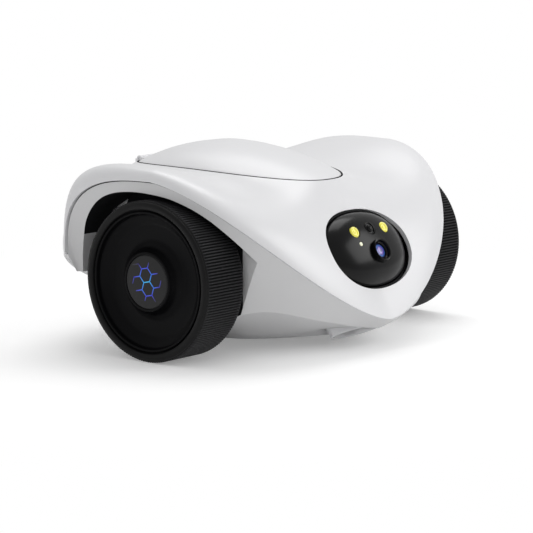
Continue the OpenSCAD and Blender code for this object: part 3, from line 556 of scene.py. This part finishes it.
def tub_levels(s):
    """The wall's (inset, height) pairs at one place round the tub: belly, foot, crease and top."""
    ahead, behind = min(s / 80, 1), max((s - 80) / 100, 0)
    to_nose = max(0, 1 - ahead / 0.36)
    nose = to_nose ** 2 * (3 - 2 * to_nose)
    foot = (mix(20 + 23.8 * ahead ** 0.47, 24, behind),
            mix(belly_z + 6 * ahead, belly_z, behind) + 4.6 * nose)
    crease = (mix(spread(CREASE_IN, ahead), 9, behind),
              mix(spread(CREASE_UP, ahead), skirt_z, behind))
    start, end = UNDERCUT
    ledge = spread((0, 1, 1, 0), (s - start) / (end - start)) if s > start else 0
    foot = (foot[0] + 7 * ledge, foot[1])
    crease = mix_pair(crease, (22, min(edge(s).z - 4, 40)), ledge)
    belly = (foot[0] + mix(1, 7, ahead) * (1 - behind) + behind, belly_z)
    return [belly, foot, mix_pair(foot, crease, BEND[0]), crease,
            mix_pair(crease, (tub_inset, edge(s).z), BEND[1]), (tub_inset, 200)]


def tub_block(name, wall, roof):
    """A closed block with the tub's outline, drawn in by the thickness of its wall."""
    rings = [[] for _ in tub_levels(0)]
    for s, side in around(TUB_STEPS):
        p = edge(s)
        for ring, (inset, limit) in zip(rings, tub_levels(s)):
            floor_t = wall if limit < 30 else 0
            q = pulled_in(p, inset + wall, min(limit + floor_t, p.z - seam_gap))
            ring.append(place(side * q.x, q.y, q.z))
    if roof > arch_z:
        top = [Vector((p.x, p.y, roof * MM)) for p in rings[-1]]
    else:
        rings.append([place(p.x / MM * 0.97, (p.y / MM - axle_y) * 0.97, p.z / MM)
                      for p in rings[-1]])
        top = [place(p.x / MM / 40, (p.y / MM - axle_y) / 40, roof) for p in rings[-1]]
    return loft(name, rings + [top], closed_ends=True)


# The wheel arch as (back, height) pairs: close over the tyre, drawn out to a point in front
ARCH = [(-50.5, 43.5), (-47, 50.3), (-42, 58.7), (-36, 66.6), (-29, 73.6), (-20.7, 79), (-10, 83),
        (2, 84.6), (14, 84.9), (26, 83.6), (35.5, 80.3), (42.5, 74.8), (47.5, 67.5), (50.3, 58.6),
        (52.3, 49)]
ARCH_STEPS = 84
well_depth = 60


def well_cutter(name, grow):
    """Both wheel wells as blocks, grown by the wall's thickness where that is cut; open behind."""
    shares = [i / ARCH_STEPS for i in range(ARCH_STEPS + 1)]
    curve = [(spread([y for y, z in ARCH], k), spread([z for y, z in ARCH], k)) for k in shares]
    outline = [(y + grow * (y - 4) / 47, z + grow * (z - wheel_r) / 43) for y, z in curve]
    outline += [(53.4 + grow, 40 + grow), (tail_reach + 10, 40 + grow), (tail_reach + 10, -10),
                (-(well_r - 6 + grow), -10), (-(well_r - 3 + grow), 14), (-(47.5 + grow), 32)]
    cutters = []
    for side in (-1, 1):
        inner = well_wall - grow
        rings = [[place(side * x, y, z) for y, z in outline] for x in (inner, inner + well_depth)]
        if side > 0:
            rings.reverse()
        cutters.append(loft(name, rings, closed_ends=True))
    return cutters


def turns(count):
    return [360 * i / count for i in range(count)]


def upright(name, centre, radius, bottom, top, count=64):
    """A plain upright cylinder to cut with."""
    return loft(name, [[place(centre[0] + radius * cosine(a), centre[1] + radius * sine(a), z)
                        for a in turns(count)] for z in (bottom, top)], closed_ends=True)


caster_at = (0, caster_reach)
lower_tub = tub_block("lower_tub_skin", 0, arch_z - 3)
hollow = tub_block("tub_hollow", tub_t, 130)
for grown in well_cutter("well_wall", tub_t):
    cut(hollow, grown)
cut(hollow, upright("caster_housing", caster_at, caster_pocket_r + tub_t, -5, caster_top + tub_t))
for well in well_cutter("wheel_well", 0):
    cut(lower_tub, well)
cut(lower_tub, hollow)
cut(lower_tub, upright("caster_pocket", caster_at, caster_pocket_r, -5, caster_top))

mouth_w = 41.0
mouth_h = 12.0
mouth_tilt = 34.0
mouth_play = 0.6
mouth_at = place(0, -(nose_reach - 24.4), belly_z + 1.4)
mouth_frame = Matrix.Translation(mouth_at) @ Matrix.Rotation(
    math.radians(180 - mouth_tilt), 4, "X")
cut(lower_tub, stack("mouth_cutter", oval(mouth_w + mouth_play, mouth_h + mouth_play),
                     [(0, -8), (0, 12)], mouth_frame))
speaker_y = 25.0
slot_w = 1.8
slot_l = 15.6
for x in (-8, -4, 0, 4, 8):
    slot_cutter = stack("speaker_slot", oval(slot_w, slot_l - abs(x) * 0.6, 3, 24),
                        [(0, -2), (0, 12)], Matrix.Translation(place(x, speaker_y, 0)))
    cut(lower_tub, slot_cutter)
screw_at = (59, 38)
screw_r = 3.2
for side in (-1, 1):
    cut(lower_tub, upright("screw_bore", (side * screw_at[0], screw_at[1]), screw_r, -1, 24, 32))
smooth(lower_tub, 40)

# Pale ABS, spark-eroded texture: a dull even grain of about 0.3 mm, drawn at 0.8 mm so that it
# shows at all
grained_abs, tree, shader = begin_material(
    "pale ABS, spark-eroded texture", Base_Color=linear("#DADADB"), Roughness=0.5)
grain = pattern(tree, 0.8, 3.0)
raise_relief(tree, shader, grain, 0.12, 0.05)
vary_gloss(tree, shader, grain, 0.42, 0.55)
finish_piece(lower_tub, grained_abs, "chassis", "grey_tub", "lower_tub")

# Painted shade: a near-black colour with a faint random grain on the wheel wells' inner walls, in
# place of the shade in them; the gaps under the shell's edge and round the lid get it too
painted_shade_black, tree, shader = begin_material(
    "black painted shade for wells and gaps", Base_Color=linear("#1A1A1B"), Roughness=0.9, Specular_IOR_Level=0.1)
vary_colour(tree, shader, pattern(tree, 0.6), "#101011", "#242426")
# The tub's second material: the near-black painted shade
lower_tub.data.materials.append(painted_shade_black)
PAINTED_SHADE_SPAN = (-37, 50)       # the painted shade's front and back ends, from the axle line
SHADE_FROM_Z = 8        # its lower end on the well's side, and on the arch
ARCH_SHADE_FROM_Z = 46
bm = bmesh.new()
bm.from_mesh(lower_tub.data)
for y in PAINTED_SHADE_SPAN:
    sides = [f for f in bm.faces if abs(f.normal.x) > 0.95]
    around_sides = {e for f in sides for e in f.edges} | {v for f in sides for v in f.verts}
    bmesh.ops.bisect_plane(bm, geom=sides + list(around_sides), plane_co=place(0, y, 0),
                           plane_no=(0, 1, 0))
bm.to_mesh(lower_tub.data)
bm.free()
for face in lower_tub.data.polygons:
    p = face.center / MM
    y, z = p.y - axle_y, p.z
    to_axle = Vector((0, 4 - y, wheel_r - z)).normalized()
    on_side = abs(face.normal.x) > 0.95 and abs(p.x) < well_wall + 0.2
    on_arch = face.normal.dot(to_axle) > 0.55 and z > ARCH_SHADE_FROM_Z
    in_well = abs(p.x) > well_wall - 0.1 and z > SHADE_FROM_Z and PAINTED_SHADE_SPAN[0] < y < PAINTED_SHADE_SPAN[1]
    # These faces in the well get the near-black painted shade
    if in_well and (on_side or on_arch):
        face.material_index = 1

# Painted shade: a near-black strip closes the gap under the shell's edge, so the parting line is
# thin and dark
strip_out, strip_in = 1.5, 2.3      # its two sides, as insets from the shell's edge
strip_play = 0.03
rings = []
for inset, drop in ((strip_out, seam_gap), (strip_out, strip_play), (strip_in, strip_play),
                    (strip_in, seam_gap)):
    ring = []
    for s, side in around(TUB_STEPS):
        p = pulled_in(edge(s), inset, edge(s).z - drop)
        ring.append(place(side * p.x, p.y, p.z))
    rings.append(ring)
finish_piece(loft("edge_gap_shade_strip", rings, tube=True), painted_shade_black, "chassis", "black_satin")


# ---- Hopper lid ----
# A thin domed moulding in the shell's own ABS that closes the treat hopper. It fits its opening
# with a gap of 0.8 mm, which a near-black lip of painted shade fills, and swings back on a pin at
# the tail.
lid_rise = 12.5
lid_t = 2.0
lid_gap = 0.8
LID_STEPS = 28


def lid_point(s, side, t, sink, drop):
    """A point of the lid's dome, from its edge (t = 0) to its middle (t = 1)."""
    p = seam(s, -lid_gap - sink)
    z = mix(p.z, seam_z(lid_mid), t) + lid_rise * (1 - (1 - t) ** 2.2)
    return place(side * p.x * (1 - t), mix(p.y, lid_mid, t), z - drop)


def lid_ring(t, sink, drop):
    return [lid_point(s, side, t, sink, drop) for s, side in around(EDGE_STEPS)]


steps = [0.985 * (j / LID_STEPS) ** 1.3 for j in range(LID_STEPS + 1)]
rings = [lid_ring(t, lid_t, lid_t) for t in reversed(steps)]
rings += [lid_ring(0, sink, drop) for sink, drop in
          ((lid_t, 3), (0.3, 3), (0, 2.7), (0, 0.35), (0.1, 0.1))]
rings += [lid_ring(t, 0, 0) for t in steps[1:]]
hopper_lid = smooth(loft("hopper_lid_dome", rings, closed_ends=True), 50)
finish_piece(hopper_lid, white_abs, "lid", "white_shell", "hopper_lid")


def rod_x(name, half, centre, radius, count=48, bevel=0.3):
    """A rod along X with chamfered ends, its centre given as (y, z)."""
    rings = []
    for x, r in ((-half, radius - bevel), (bevel - half, radius), (half - bevel, radius),
                 (half, radius - bevel)):
        rings.append([place(x, centre[0] + r * cosine(a), centre[1] + r * sine(a))
                      for a in turns(count)])
    return loft(name, rings, closed_ends=True)


hinge_w = 28.0
knuckle_r = 1.8
knuckle_half = hinge_w / 4
hinge_y, hinge_z = lid_back + 1.6, seam_z(lid_back) + 0.4
knuckle = smooth(rod_x("lid_knuckle", knuckle_half, (hinge_y, hinge_z), knuckle_r), 30)
hinge_arm = rounded_box("lid_hinge_arm", (-knuckle_half, hinge_y - 6, hinge_z - 1.2),
                        (knuckle_half, hinge_y, hinge_z + 0.6), 0.4)
finish_piece(knuckle, white_abs, "lid", "white_shell")
finish_piece(hinge_arm, white_abs, "lid", "white_shell")

# Painted shade: a near-black lip stands up in the gap round the lid, where it shows as a thin
# dark line
lip_out = lid_gap - 0.02
rings = []
for inset, drop in ((lip_out, 2.6), (lip_out, -0.25), (0.1, -0.2), (0.1, 2.6)):
    rings.append([place(side * seam(s, -inset).x, *(seam(s, -inset) - Vector((0, 0, drop))).yz)
                  for s, side in around(EDGE_STEPS)])
finish_piece(loft("lid_gap_shade_lip", rings, tube=True), painted_shade_black, "lid", "black_satin")


# ---- Drive wheels ----
# Each wheel is a satin black ABS rim, dished deep towards a raised hub, with a soft rubber tyre
# moulded round it. The tyre has a smooth shoulder and fine cross ribs for grip on wooden floors.
tyre_t = 4.5
rim_r = wheel_r - tyre_t
hub_r = 15.0
dish_depth = 7.0
rib_h = 0.8
TREAD_RIBS = 168
RIB_POINTS = 6
RIM_POINTS = 192


def rounded(points, radius, steps=5):
    """The same open outline with each corner drawn as a small arc."""
    made = [Vector(points[0])]
    for before, corner, after in zip(points, points[1:], points[2:]):
        before, corner, after = Vector(before), Vector(corner), Vector(after)
        reach = min(radius, (corner - before).length / 2.05, (corner - after).length / 2.05)
        start = corner + (before - corner).normalized() * reach
        end = corner + (after - corner).normalized() * reach
        for k in range(steps + 1):
            t = k / steps
            made.append((1 - t) ** 2 * start + 2 * t * (1 - t) * corner + t * t * end)
    made.append(Vector(points[-1]))
    return [tuple(p) for p in made]


def turn_wheel(name, side, profile, count, shape=None):
    """Turns (radius, depth from the outer face) pairs round the axle; shape trims the radius."""
    rings = []
    for radius, depth in profile:
        ring = []
        for i in range(count):
            a = 360 * i / count
            r = radius + (shape(i, radius, depth) if shape else 0)
            ring.append(place(side * (side_x - depth), r * cosine(a), wheel_r + r * sine(a)))
        rings.append(ring if side < 0 else ring[::-1])
    return loft(name, rings, tube=True)


def tread(i, radius, depth):
    """How far the tread lies under the ribs' crests at this place."""
    if radius < wheel_r - 0.01:
        return 0
    edge_fade = min(1, max(0, (min(depth, tyre_w - depth) - 1.2) / 0.5))
    groove = 0.5 - 0.5 * math.cos(2 * math.pi * i / RIB_POINTS)
    return -rib_h * max(groove * edge_fade if groove > 0.5 else 0, 1 - edge_fade)


def from_axle(tree):
    """The distance from the wheel's axle, in metres, on the piece's own coordinates."""
    shifted = vector(tree, "SUBTRACT", add(tree, "TexCoord").outputs["Object"], aim)
    return vector(tree, "LENGTH", vector(tree, "MULTIPLY", shifted, (0, 1, 1)))


# Black rubber, moulded: matt black, with a painted highlight in dull grey on the ribs' crests
rubber, tree, shader = begin_material(
    "black rubber, moulded", Base_Color=linear("#0B0B0C"), Roughness=0.55, Specular_IOR_Level=0.2)
# Painted highlight: the colour lightens to dull grey over the last half millimetre up to the crests
crest = add(tree, "MapRange", {"Value": from_axle(tree), "From Min": (wheel_r - 0.5) * MM,
                               "From Max": (wheel_r - 0.05) * MM})
shade = add(tree, "MixRGB", {0: pattern(tree, 6, 4.0), 1: linear("#070708"),
                             2: linear("#0E0E0F")})
crest_painted_highlight = add(tree, "MixRGB", {0: crest.outputs[0], 1: shade.outputs[0], 2: linear("#252527")})
tree.links.new(crest_painted_highlight.outputs[0], shader.inputs["Base Color"])
raise_relief(tree, shader, pattern(tree, 0.5), 0.15, 0.04)

# Black ABS, satin moulded in a finely blasted tool: the dish shows one broad soft light
satin_abs, tree, shader = begin_material(
    "black ABS, satin moulded", Base_Color=linear("#08080A"), Roughness=0.45,
    Specular_IOR_Level=0.08)
grit = pattern(tree, 0.6)
vary_gloss(tree, shader, grit, 0.36, 0.48)
raise_relief(tree, shader, grit, 0.06, 0.03)

for side, hand in ((-1, "left"), (1, "right")):
    outer = [(rim_r, 0.6), (rim_r + 0.6, 0), (wheel_r - rib_h - 1.6, 0.0),
             (wheel_r - rib_h - 0.2, 0.35), (wheel_r - rib_h, 1.0)]
    inner = [(r, tyre_w - d) for r, d in reversed(outer)]
    crest = [(wheel_r, d) for d in (1.2, 1.45, 1.7, 4, 8, 12, tyre_w / 2, 17, 21, 25,
                                    tyre_w - 1.7, tyre_w - 1.45, tyre_w - 1.2)]
    tyre = turn_wheel("tyre_" + hand + "_tread", side, outer + crest + inner,
                      TREAD_RIBS * RIB_POINTS, tread)
    finish_piece(smooth(tyre, 60), rubber, "wheel_" + hand, "tyre_rubber", "tyre_" + hand)

    face = rounded([(rim_r, 2.2), (rim_r - 0.9, 2.2), (rim_r - 0.9, 0.7), (rim_r - 2.1, 0.7),
                    (rim_r - 2.6, 3.4), (rim_r - 4.2, 4.6),
                    ((rim_r + hub_r) / 2 + 3, dish_depth - 0.2), (hub_r + 5.5, dish_depth),
                    (hub_r + 2.2, dish_depth - 1.8), (hub_r + 0.5, 2.2), (hub_r, 1.0),
                    (hub_r - 1.3, 1.0), (hub_r - 1.4, 2.9), (2, 2.9)], 1.1)
    back = [(2, tyre_w - 3), (hub_r - 5, tyre_w - 3), (hub_r - 4, dish_depth + 4),
            (rim_r - 3, dish_depth + 2.5), (rim_r - 2, tyre_w - 1), (rim_r - 0.05, tyre_w - 1)]
    rim = turn_wheel("rim_" + hand + "_dish", side, face + back, RIM_POINTS)
    finish_piece(smooth(rim, 40), satin_abs, "wheel_" + hand, "black_satin", "rim_" + hand)


# ---- Hub caps ----
# A black acrylic cap in each hub, printed with a honeycomb of fine translucent lines. A blue lamp
# in the hub lights the lines from the middle, so they fade from cyan to indigo towards the rim.
cap_r = 13.8
cell = 4.0              # side of one honeycomb cell
row = cell * math.sqrt(3) / 2
line_w = 0.5
line_t = 0.03
line_depth = 1.12       # from the wheel's outer face
LEAN = 12               # the honeycomb leans this many degrees to the left
GLOW = (0.5, 11.5)      # where the lamp's light is full and where it is lost, from the axle
comb = [(-2, 0, 2, 0), (2, 0, 4, row), (4, row, 2, 2 * row), (2, 2 * row, -2, 2 * row),
        (-2, 2 * row, -4, row), (-4, row, -2, 0), (2, 0, 4, -row), (4, -row, 2, -2 * row),
        (2, -2 * row, -2, -2 * row), (-2, -2 * row, -4, -row), (-4, -row, -2, 0),
        (-4, row, -8, row), (-4, -row, -8, -row), (-8, row, -9.6, 0.5), (4, row, 8, row),
        (4, -row, 8, -row), (8, -row, 9.6, -0.5), (2, 2 * row, 3.4, 2.7 * row),
        (-2, -2 * row, -3.2, -2.6 * row), (-2, 2 * row, -3.6, 2.8 * row),
        (-3.6, 2.8 * row, -7.4, 2.8 * row), (2, -2 * row, 3.8, -3 * row)]

# Acrylic over black print: a clouded gloss over black
cap_face, tree, shader = begin_material(
    "acrylic over black print", Base_Color=linear("#0C0C0E"), Roughness=0.34,
    Specular_IOR_Level=0.3)
vary_gloss(tree, shader, pattern(tree, 1.5), 0.26, 0.36)

# Translucent blue print, lit from behind: brightest at the hub's middle and lost before the rim
glow, tree, shader = begin_material(
    "translucent blue print", Base_Color=linear("#101018"), Roughness=0.4)
fade = add(tree, "MapRange", {"Value": from_axle(tree), "From Min": GLOW[0] * MM,
                              "From Max": GLOW[1] * MM})
ramp = add(tree, "ValToRGB", {0: fade.outputs[0]})
ramp.color_ramp.elements[0].color = linear("#34B4E8")
ramp.color_ramp.elements[1].color = linear("#14121F")
for position, code in ((0.3, "#2A7BDA"), (0.6, "#3540C8"), (0.85, "#251E66")):
    ramp.color_ramp.elements.new(position).color = linear(code)
tree.links.new(ramp.outputs[0], shader.inputs["Emission Color"])
shader.inputs["Emission Strength"].default_value = 0.95


def comb_line(line, side):
    """The four corners of one honeycomb line on the cap of one side."""
    y0, z0, y1, z1 = line
    start, end = (Vector((y * cosine(LEAN) - z * sine(LEAN), y * sine(LEAN) + z * cosine(LEAN)))
                  for y, z in ((y0, z0), (y1, z1)))
    along = (end - start).normalized() * line_w * 0.4
    across = Vector((-along.y, along.x)).normalized() * line_w / 2
    corners = (start - along + across, start - along - across,
               end + along - across, end + along + across)
    return [place(side * (side_x - line_depth), -p.x, wheel_r + p.y) for p in corners]


for side, hand in ((-1, "left"), (1, "right")):
    cap_profile = rounded([(0.01, 1.15), (cap_r - 0.5, 1.15), (cap_r, 1.5), (cap_r, 2.75),
                           (0.01, 2.75)], 0.3)
    cap = turn_wheel("hub_cap_" + hand + "_face", side, cap_profile, 128)
    finish_piece(smooth(cap, 30), cap_face, "wheel_" + hand, "hub_film", "hub_cap_" + hand)
    lines = bpy.data.meshes.new("honeycomb lines")
    lines.from_pydata([p for line in comb for p in comb_line(line, side)], [],
                      [tuple(range(4 * i, 4 * i + 4)) for i in range(len(comb))])
    honeycomb = show("honeycomb_" + hand, lines)
    honeycomb.modifiers.new("depth", "SOLIDIFY").thickness = line_t * MM
    finish_piece(apply_modifiers(honeycomb), glow, "wheel_" + hand, "hub_film")


# ---- Camera eye ----
# A smoked acrylic dome in a black bezel covers the camera. Holes in it hold the lens in its barrel,
# two yellow night lamps, the presence sensor between them and a small white status lamp.
plate_w = eye_w - 2.9
plate_h = eye_h - 2.9
plate_low = 2.4         # how far the plate's edge lies under the shell's oval
plate_rise = 10.4
plate_t = 2
lens_at = (0.0, -4.5)
lamp_at = ((-12.3, 8.0), (12.3, 8.0))
sensor_at = (0.0, 8.5)
status_at = (-12.0, 1.0)
barrel_r = 6.0
lamp_r = 3.0
sensor_r = 3.5
status_r = 1.1
hole_play = 0.2
eye_back = -9           # how deep the eye's pieces reach into the nose
DOME_RINGS = 24
eye_frame = Matrix.Translation(on_eye(0, 0, 0)) @ Matrix.Rotation(
    math.radians(90 - eye_tilt), 4, "X")


def dome_z(u, v):
    """How far the dome's surface stands out at a place on the eye."""
    q = abs(2 * u / plate_w) ** eye_square + abs(2 * v / plate_h) ** eye_square
    return -plate_low + plate_rise * math.sqrt(max(0, 1 - q))


def at_eye(u, v):
    return eye_frame @ Matrix.Translation(Vector((u, v, 0)) * MM)


def close_ring(piece):
    """Joins the first and the last edge of an open stack, which makes it a closed ring."""
    bm = bmesh.new()
    bm.from_mesh(piece.data)
    bmesh.ops.bridge_loops(bm, edges=[e for e in bm.edges if e.is_boundary])
    bm.to_mesh(piece.data)
    bm.free()
    return piece


bezel = stack("eye_bezel_ring", oval(eye_w - 0.2, eye_h - 0.2),
              [(0, eye_back), (0, -1.0), (0.15, -0.75), (0.5, -0.65), (1.15, -0.7), (1.3, -0.95),
               (1.3, -5), (2.8, -5), (2.8, eye_back), (2.0, eye_back)], eye_frame, closed=False)
finish_piece(smooth(close_ring(bezel), 30), satin_abs, "chassis", "black_satin", "eye_bezel")


def round_stack(name, profile, matrix, count=64):
    """A turned piece: profile is (radius, out) pairs, from the middle of its front to its back."""
    rings = [[matrix @ (Vector((r * cosine(a), r * sine(a), out)) * MM) for a in turns(count)]
             for r, out in profile]
    return loft(name, rings, closed_ends=True)


rings = []
spans = [sine(90 * j / DOME_RINGS) for j in range(1, DOME_RINGS + 1)]
for k, sink in [(k, plate_t) for k in spans] + [(k, 0) for k in reversed(spans)]:
    rings.append([at_eye(0, 0) @ (Vector((u * k, v * k, dome_z(u * k, v * k) - sink)) * MM)
                  for u, v in oval(plate_w, plate_h, eye_square, 128)])
dome = loft("eye_dome", rings, closed_ends=True)
for (u, v), radius in ((lens_at, barrel_r), (lamp_at[0], lamp_r), (lamp_at[1], lamp_r),
                       (sensor_at, sensor_r), (status_at, status_r)):
    hole = radius + hole_play
    cut(dome, round_stack("dome_hole", [(hole, -12), (hole, 14)], at_eye(u, v), 48))
smooth(dome, 40)

# Smoked acrylic, polished and clouded by a fine haze coat: near black, with soft reflections
smoked, tree, shader = begin_material(
    "smoked acrylic, polished", Base_Color=linear("#050506"), Roughness=0.22,
    Specular_IOR_Level=0.22)
vary_gloss(tree, shader, pattern(tree, 14, 1.0), 0.19, 0.25)
finish_piece(dome, smoked, "chassis", "black_gloss", "eye_faceplate")

lens_top = dome_z(*lens_at) + 1.6
barrel = round_stack("lens_barrel_rings", [
    (4.3, lens_top - 3.5), (4.4, lens_top - 1.4), (4.9, lens_top - 0.9), (4.9, lens_top - 0.3),
    (5.2, lens_top + 0.5), (5.7, lens_top + 0.8), (barrel_r, lens_top + 0.5),
    (barrel_r, eye_back), (4.3, eye_back)], at_eye(*lens_at), 96)
finish_piece(smooth(barrel, 25), smoked, "chassis", "black_satin", "lens_barrel")

# Optical glass, coated: the film turns what it throws back violet in the middle and blue towards
# the rim, round a dark pupil
coated, tree, shader = begin_material(
    "optical glass, coated", Base_Color=linear("#08060E"), Roughness=0.06, Coat_Weight=0.8,
    Coat_Roughness=0.02)
spot = add(tree, "TexCoord").outputs["Object"]
from_centre = vector(tree, "SUBTRACT", spot, at_eye(*lens_at).translation)
axis = at_eye(0, 0).to_3x3() @ Vector((0, 0, 1))
along_axis = vector(tree, "DOT_PRODUCT", from_centre, axis)
axial = add(tree, "VectorMath", {0: axis, "Scale": along_axis}, operation="SCALE")
lens_radius = vector(tree, "LENGTH", vector(tree, "SUBTRACT", from_centre, axial.outputs[0]))
step = add(tree, "MapRange", {"Value": lens_radius, "From Min": 0.0, "From Max": 4.3 * MM})
film = add(tree, "ValToRGB", {0: step.outputs[0]})
film.color_ramp.elements[0].color = linear("#1B1A3A")
film.color_ramp.elements[1].color = linear("#0A0A12")
for position, code in ((0.18, "#2F3F8F"), (0.3, "#7C63C8"), (0.5, "#5B3FA8"),
                       (0.68, "#3D78D0"), (0.85, "#232050")):
    film.color_ramp.elements.new(position).color = linear(code)
tree.links.new(film.outputs[0], shader.inputs["Base Color"])
glass = round_stack("lens_front", [
    (0.02, lens_top - 0.9), (1.5, lens_top - 1.0), (3.0, lens_top - 1.35), (4.25, lens_top - 1.9),
    (4.25, lens_top - 3.4), (0.02, lens_top - 3.4)], at_eye(*lens_at), 96)
finish_piece(smooth(glass, 50), coated, "chassis", "lens_glass", "lens_glass")

# Polycarbonate, yellow tint: glossy domes over each lamp's die, with a trace of its glow
tinted, tree, shader = begin_material(
    "polycarbonate, yellow tint", Base_Color=linear("#D8CC2E"), Roughness=0.12, Coat_Weight=0.5,
    Coat_Roughness=0.05)
vary_colour(tree, shader, pattern(tree, 2.4, 1.0), "#C6B91C", "#F6F268", "Emission Color")
shader.inputs["Emission Strength"].default_value = 0.25
for (u, v), hand in zip(lamp_at, ("left", "right")):
    top = dome_z(u, v)
    lamp = round_stack("lamp_" + hand + "_dome", [
        (0.02, top + 0.15), (0.7, top + 0.12), (1.0, top - 0.25), (1.7, top - 0.25),
        (2.1, top + 0.25), (2.6, top + 0.3), (lamp_r, top - 0.1), (lamp_r, eye_back),
        (0.02, eye_back)], at_eye(u, v), 48)
    finish_piece(smooth(lamp, 35), tinted, "chassis", "lamp_plastic", "lamp_" + hand)

top = dome_z(*sensor_at)
sensor = round_stack("presence_sensor_lens", [
    (0.02, top + 0.9), (0.8, top + 0.8), (1.5, top + 0.5), (1.9, top + 0.05), (2.0, top - 0.4),
    (2.7, top - 0.4), (2.9, top + 0.15), (3.3, top + 0.25), (sensor_r, top - 0.1),
    (sensor_r, eye_back), (0.02, eye_back)], at_eye(*sensor_at), 64)
finish_piece(smooth(sensor, 35), smoked, "chassis", "black_gloss", "presence_sensor")

# Silicone, milky: a soft window over a warm white lamp
milky, tree, shader = begin_material(
    "silicone, milky", Base_Color=linear("#F4F1CF"), Roughness=0.35, Subsurface_Weight=0.2)
vary_colour(tree, shader, pattern(tree, 1.0, 1.0), "#E9E4B0", "#FFFDEB", "Emission Color")
shader.inputs["Emission Strength"].default_value = 0.35
top = dome_z(*status_at)
status = round_stack("status_lamp_window", [
    (0.02, top + 0.35), (0.6, top + 0.28), (1.05, top), (status_r, eye_back), (0.02, eye_back)],
    at_eye(*status_at), 32)
finish_piece(smooth(status, 35), milky, "chassis", "lamp_white", "status_lamp")


# ---- Treat outlet ----
# A white lip round the oval mouth that the treats are thrown from, pressed into the tub under the
# nose. The chute behind it is food-safe polypropylene.
lip_back = -4.2
lip = stack("outlet_lip_ring", oval(mouth_w, mouth_h),
            [(0, lip_back), (0, 0.9), (0.25, 1.25), (0.75, 1.4), (1.25, 1.25), (1.5, 0.9),
             (1.5, lip_back), (0.8, lip_back)], mouth_frame, closed=False)
finish_piece(smooth(close_ring(lip), 35), white_abs, "chassis", "white_shell", "outlet_lip")


# ---- Pieces that keep their CAD solids ----
# The drive, the tosser, the boards and the fixings are plain engineering pieces whose solids are
# already right, so each gets its real finish here and nothing else.
def dress(material, *nodes):
    """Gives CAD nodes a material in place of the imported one."""
    for node in nodes:
        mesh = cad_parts[node].data
        mesh.materials.clear()
        mesh.materials.append(material)


# Polypropylene, moulded: waxy and slightly cloudy
waxy, tree, shader = begin_material(
    "polypropylene, moulded", Base_Color=linear("#D9D9D4"), Roughness=0.45, Subsurface_Weight=0.1)
vary_colour(tree, shader, pattern(tree, 7, 3.0), "#CFCFCA", "#E2E2DE")
dress(waxy, "hopper_bin", "dispenser_housing", "treat_chute")

# Silicone, moulded: the seal's grey and dull
silicone, tree, shader = begin_material(
    "silicone, moulded", Base_Color=linear("#A9A9AC"), Roughness=0.6)
raise_relief(tree, shader, pattern(tree, 0.8), 0.1, 0.05)
dress(silicone, "lid_seal")

# Elastomer, moulded: the paddles' soft orange
elastomer, tree, shader = begin_material(
    "elastomer, moulded", Base_Color=linear("#E07B2A"), Roughness=0.5)
vary_colour(tree, shader, pattern(tree, 4), "#D56F1F", "#E98738")
dress(elastomer, "treat_rotor")

# Steel, drawn: bright, with fine lines along the part at about 0.1 mm, drawn at 0.4 mm
steel, tree, shader = begin_material(
    "steel, drawn", Base_Color=linear("#B9BABD"), Metallic=1.0, Roughness=0.3)
vary_gloss(tree, shader, pattern(tree, 0.4, 2.0, stretch=(0.05, 1, 1)), 0.22, 0.4)
dress(steel, "lid_hinge_pin", "axle_left", "axle_right", "rotor_motor", "motor_left",
      "motor_right", "motor_bracket_left", "motor_bracket_right", "caster_axle", "base_screws",
      "board_screws", "charge_port")

# Brass, turned: warm, with faint tool marks
brass, tree, shader = begin_material(
    "brass, turned", Base_Color=linear("#C79A4B"), Metallic=1.0, Roughness=0.28)
vary_gloss(tree, shader, pattern(tree, 0.5), 0.22, 0.36)
dress(brass, "axle_bush_left", "axle_bush_right", "motor_pinion_left", "motor_pinion_right")

# Nylon, moulded: the gears' and the caster bearing's cream, slightly waxy
nylon, tree, shader = begin_material(
    "nylon, moulded", Base_Color=linear("#E4E0CF"), Roughness=0.42)
vary_colour(tree, shader, pattern(tree, 3), "#DCD7C4", "#ECE9DB")
dress(nylon, "drive_gear_left", "drive_gear_right", "caster_socket")

# Circuit board, green lacquer: glass fibre under it, and copper tracks as a paler grid
lacquer, tree, shader = begin_material(
    "circuit board, green lacquer", Base_Color=linear("#0F5A32"), Roughness=0.3)
spot = add(tree, "TexCoord")
tracks = add(tree, "TexBrick", {
    "Vector": spot.outputs["Object"], "Scale": 1 / (24 * MM), "Color1": linear("#0E5630"),
    "Color2": linear("#12663A"), "Mortar": linear("#1C7D49"), "Mortar Size": 0.03})
tree.links.new(tracks.outputs[0], shader.inputs["Base Color"])
dress(lacquer, "camera_board", "main_board")

# PVC shrink sleeve: glossy blue, drawn tight over the cells with fine wrinkles
sleeve, tree, shader = begin_material(
    "PVC shrink sleeve", Base_Color=linear("#2A57A5"), Roughness=0.25)
raise_relief(tree, shader, pattern(tree, 5, 3.0), 0.3, 0.3)
dress(sleeve, "battery_pack")

dress(white_abs, "lid_hinge_bracket", "power_button")
dress(satin_abs, "speaker", "caster_fork")
dress(rubber, "caster_roller")
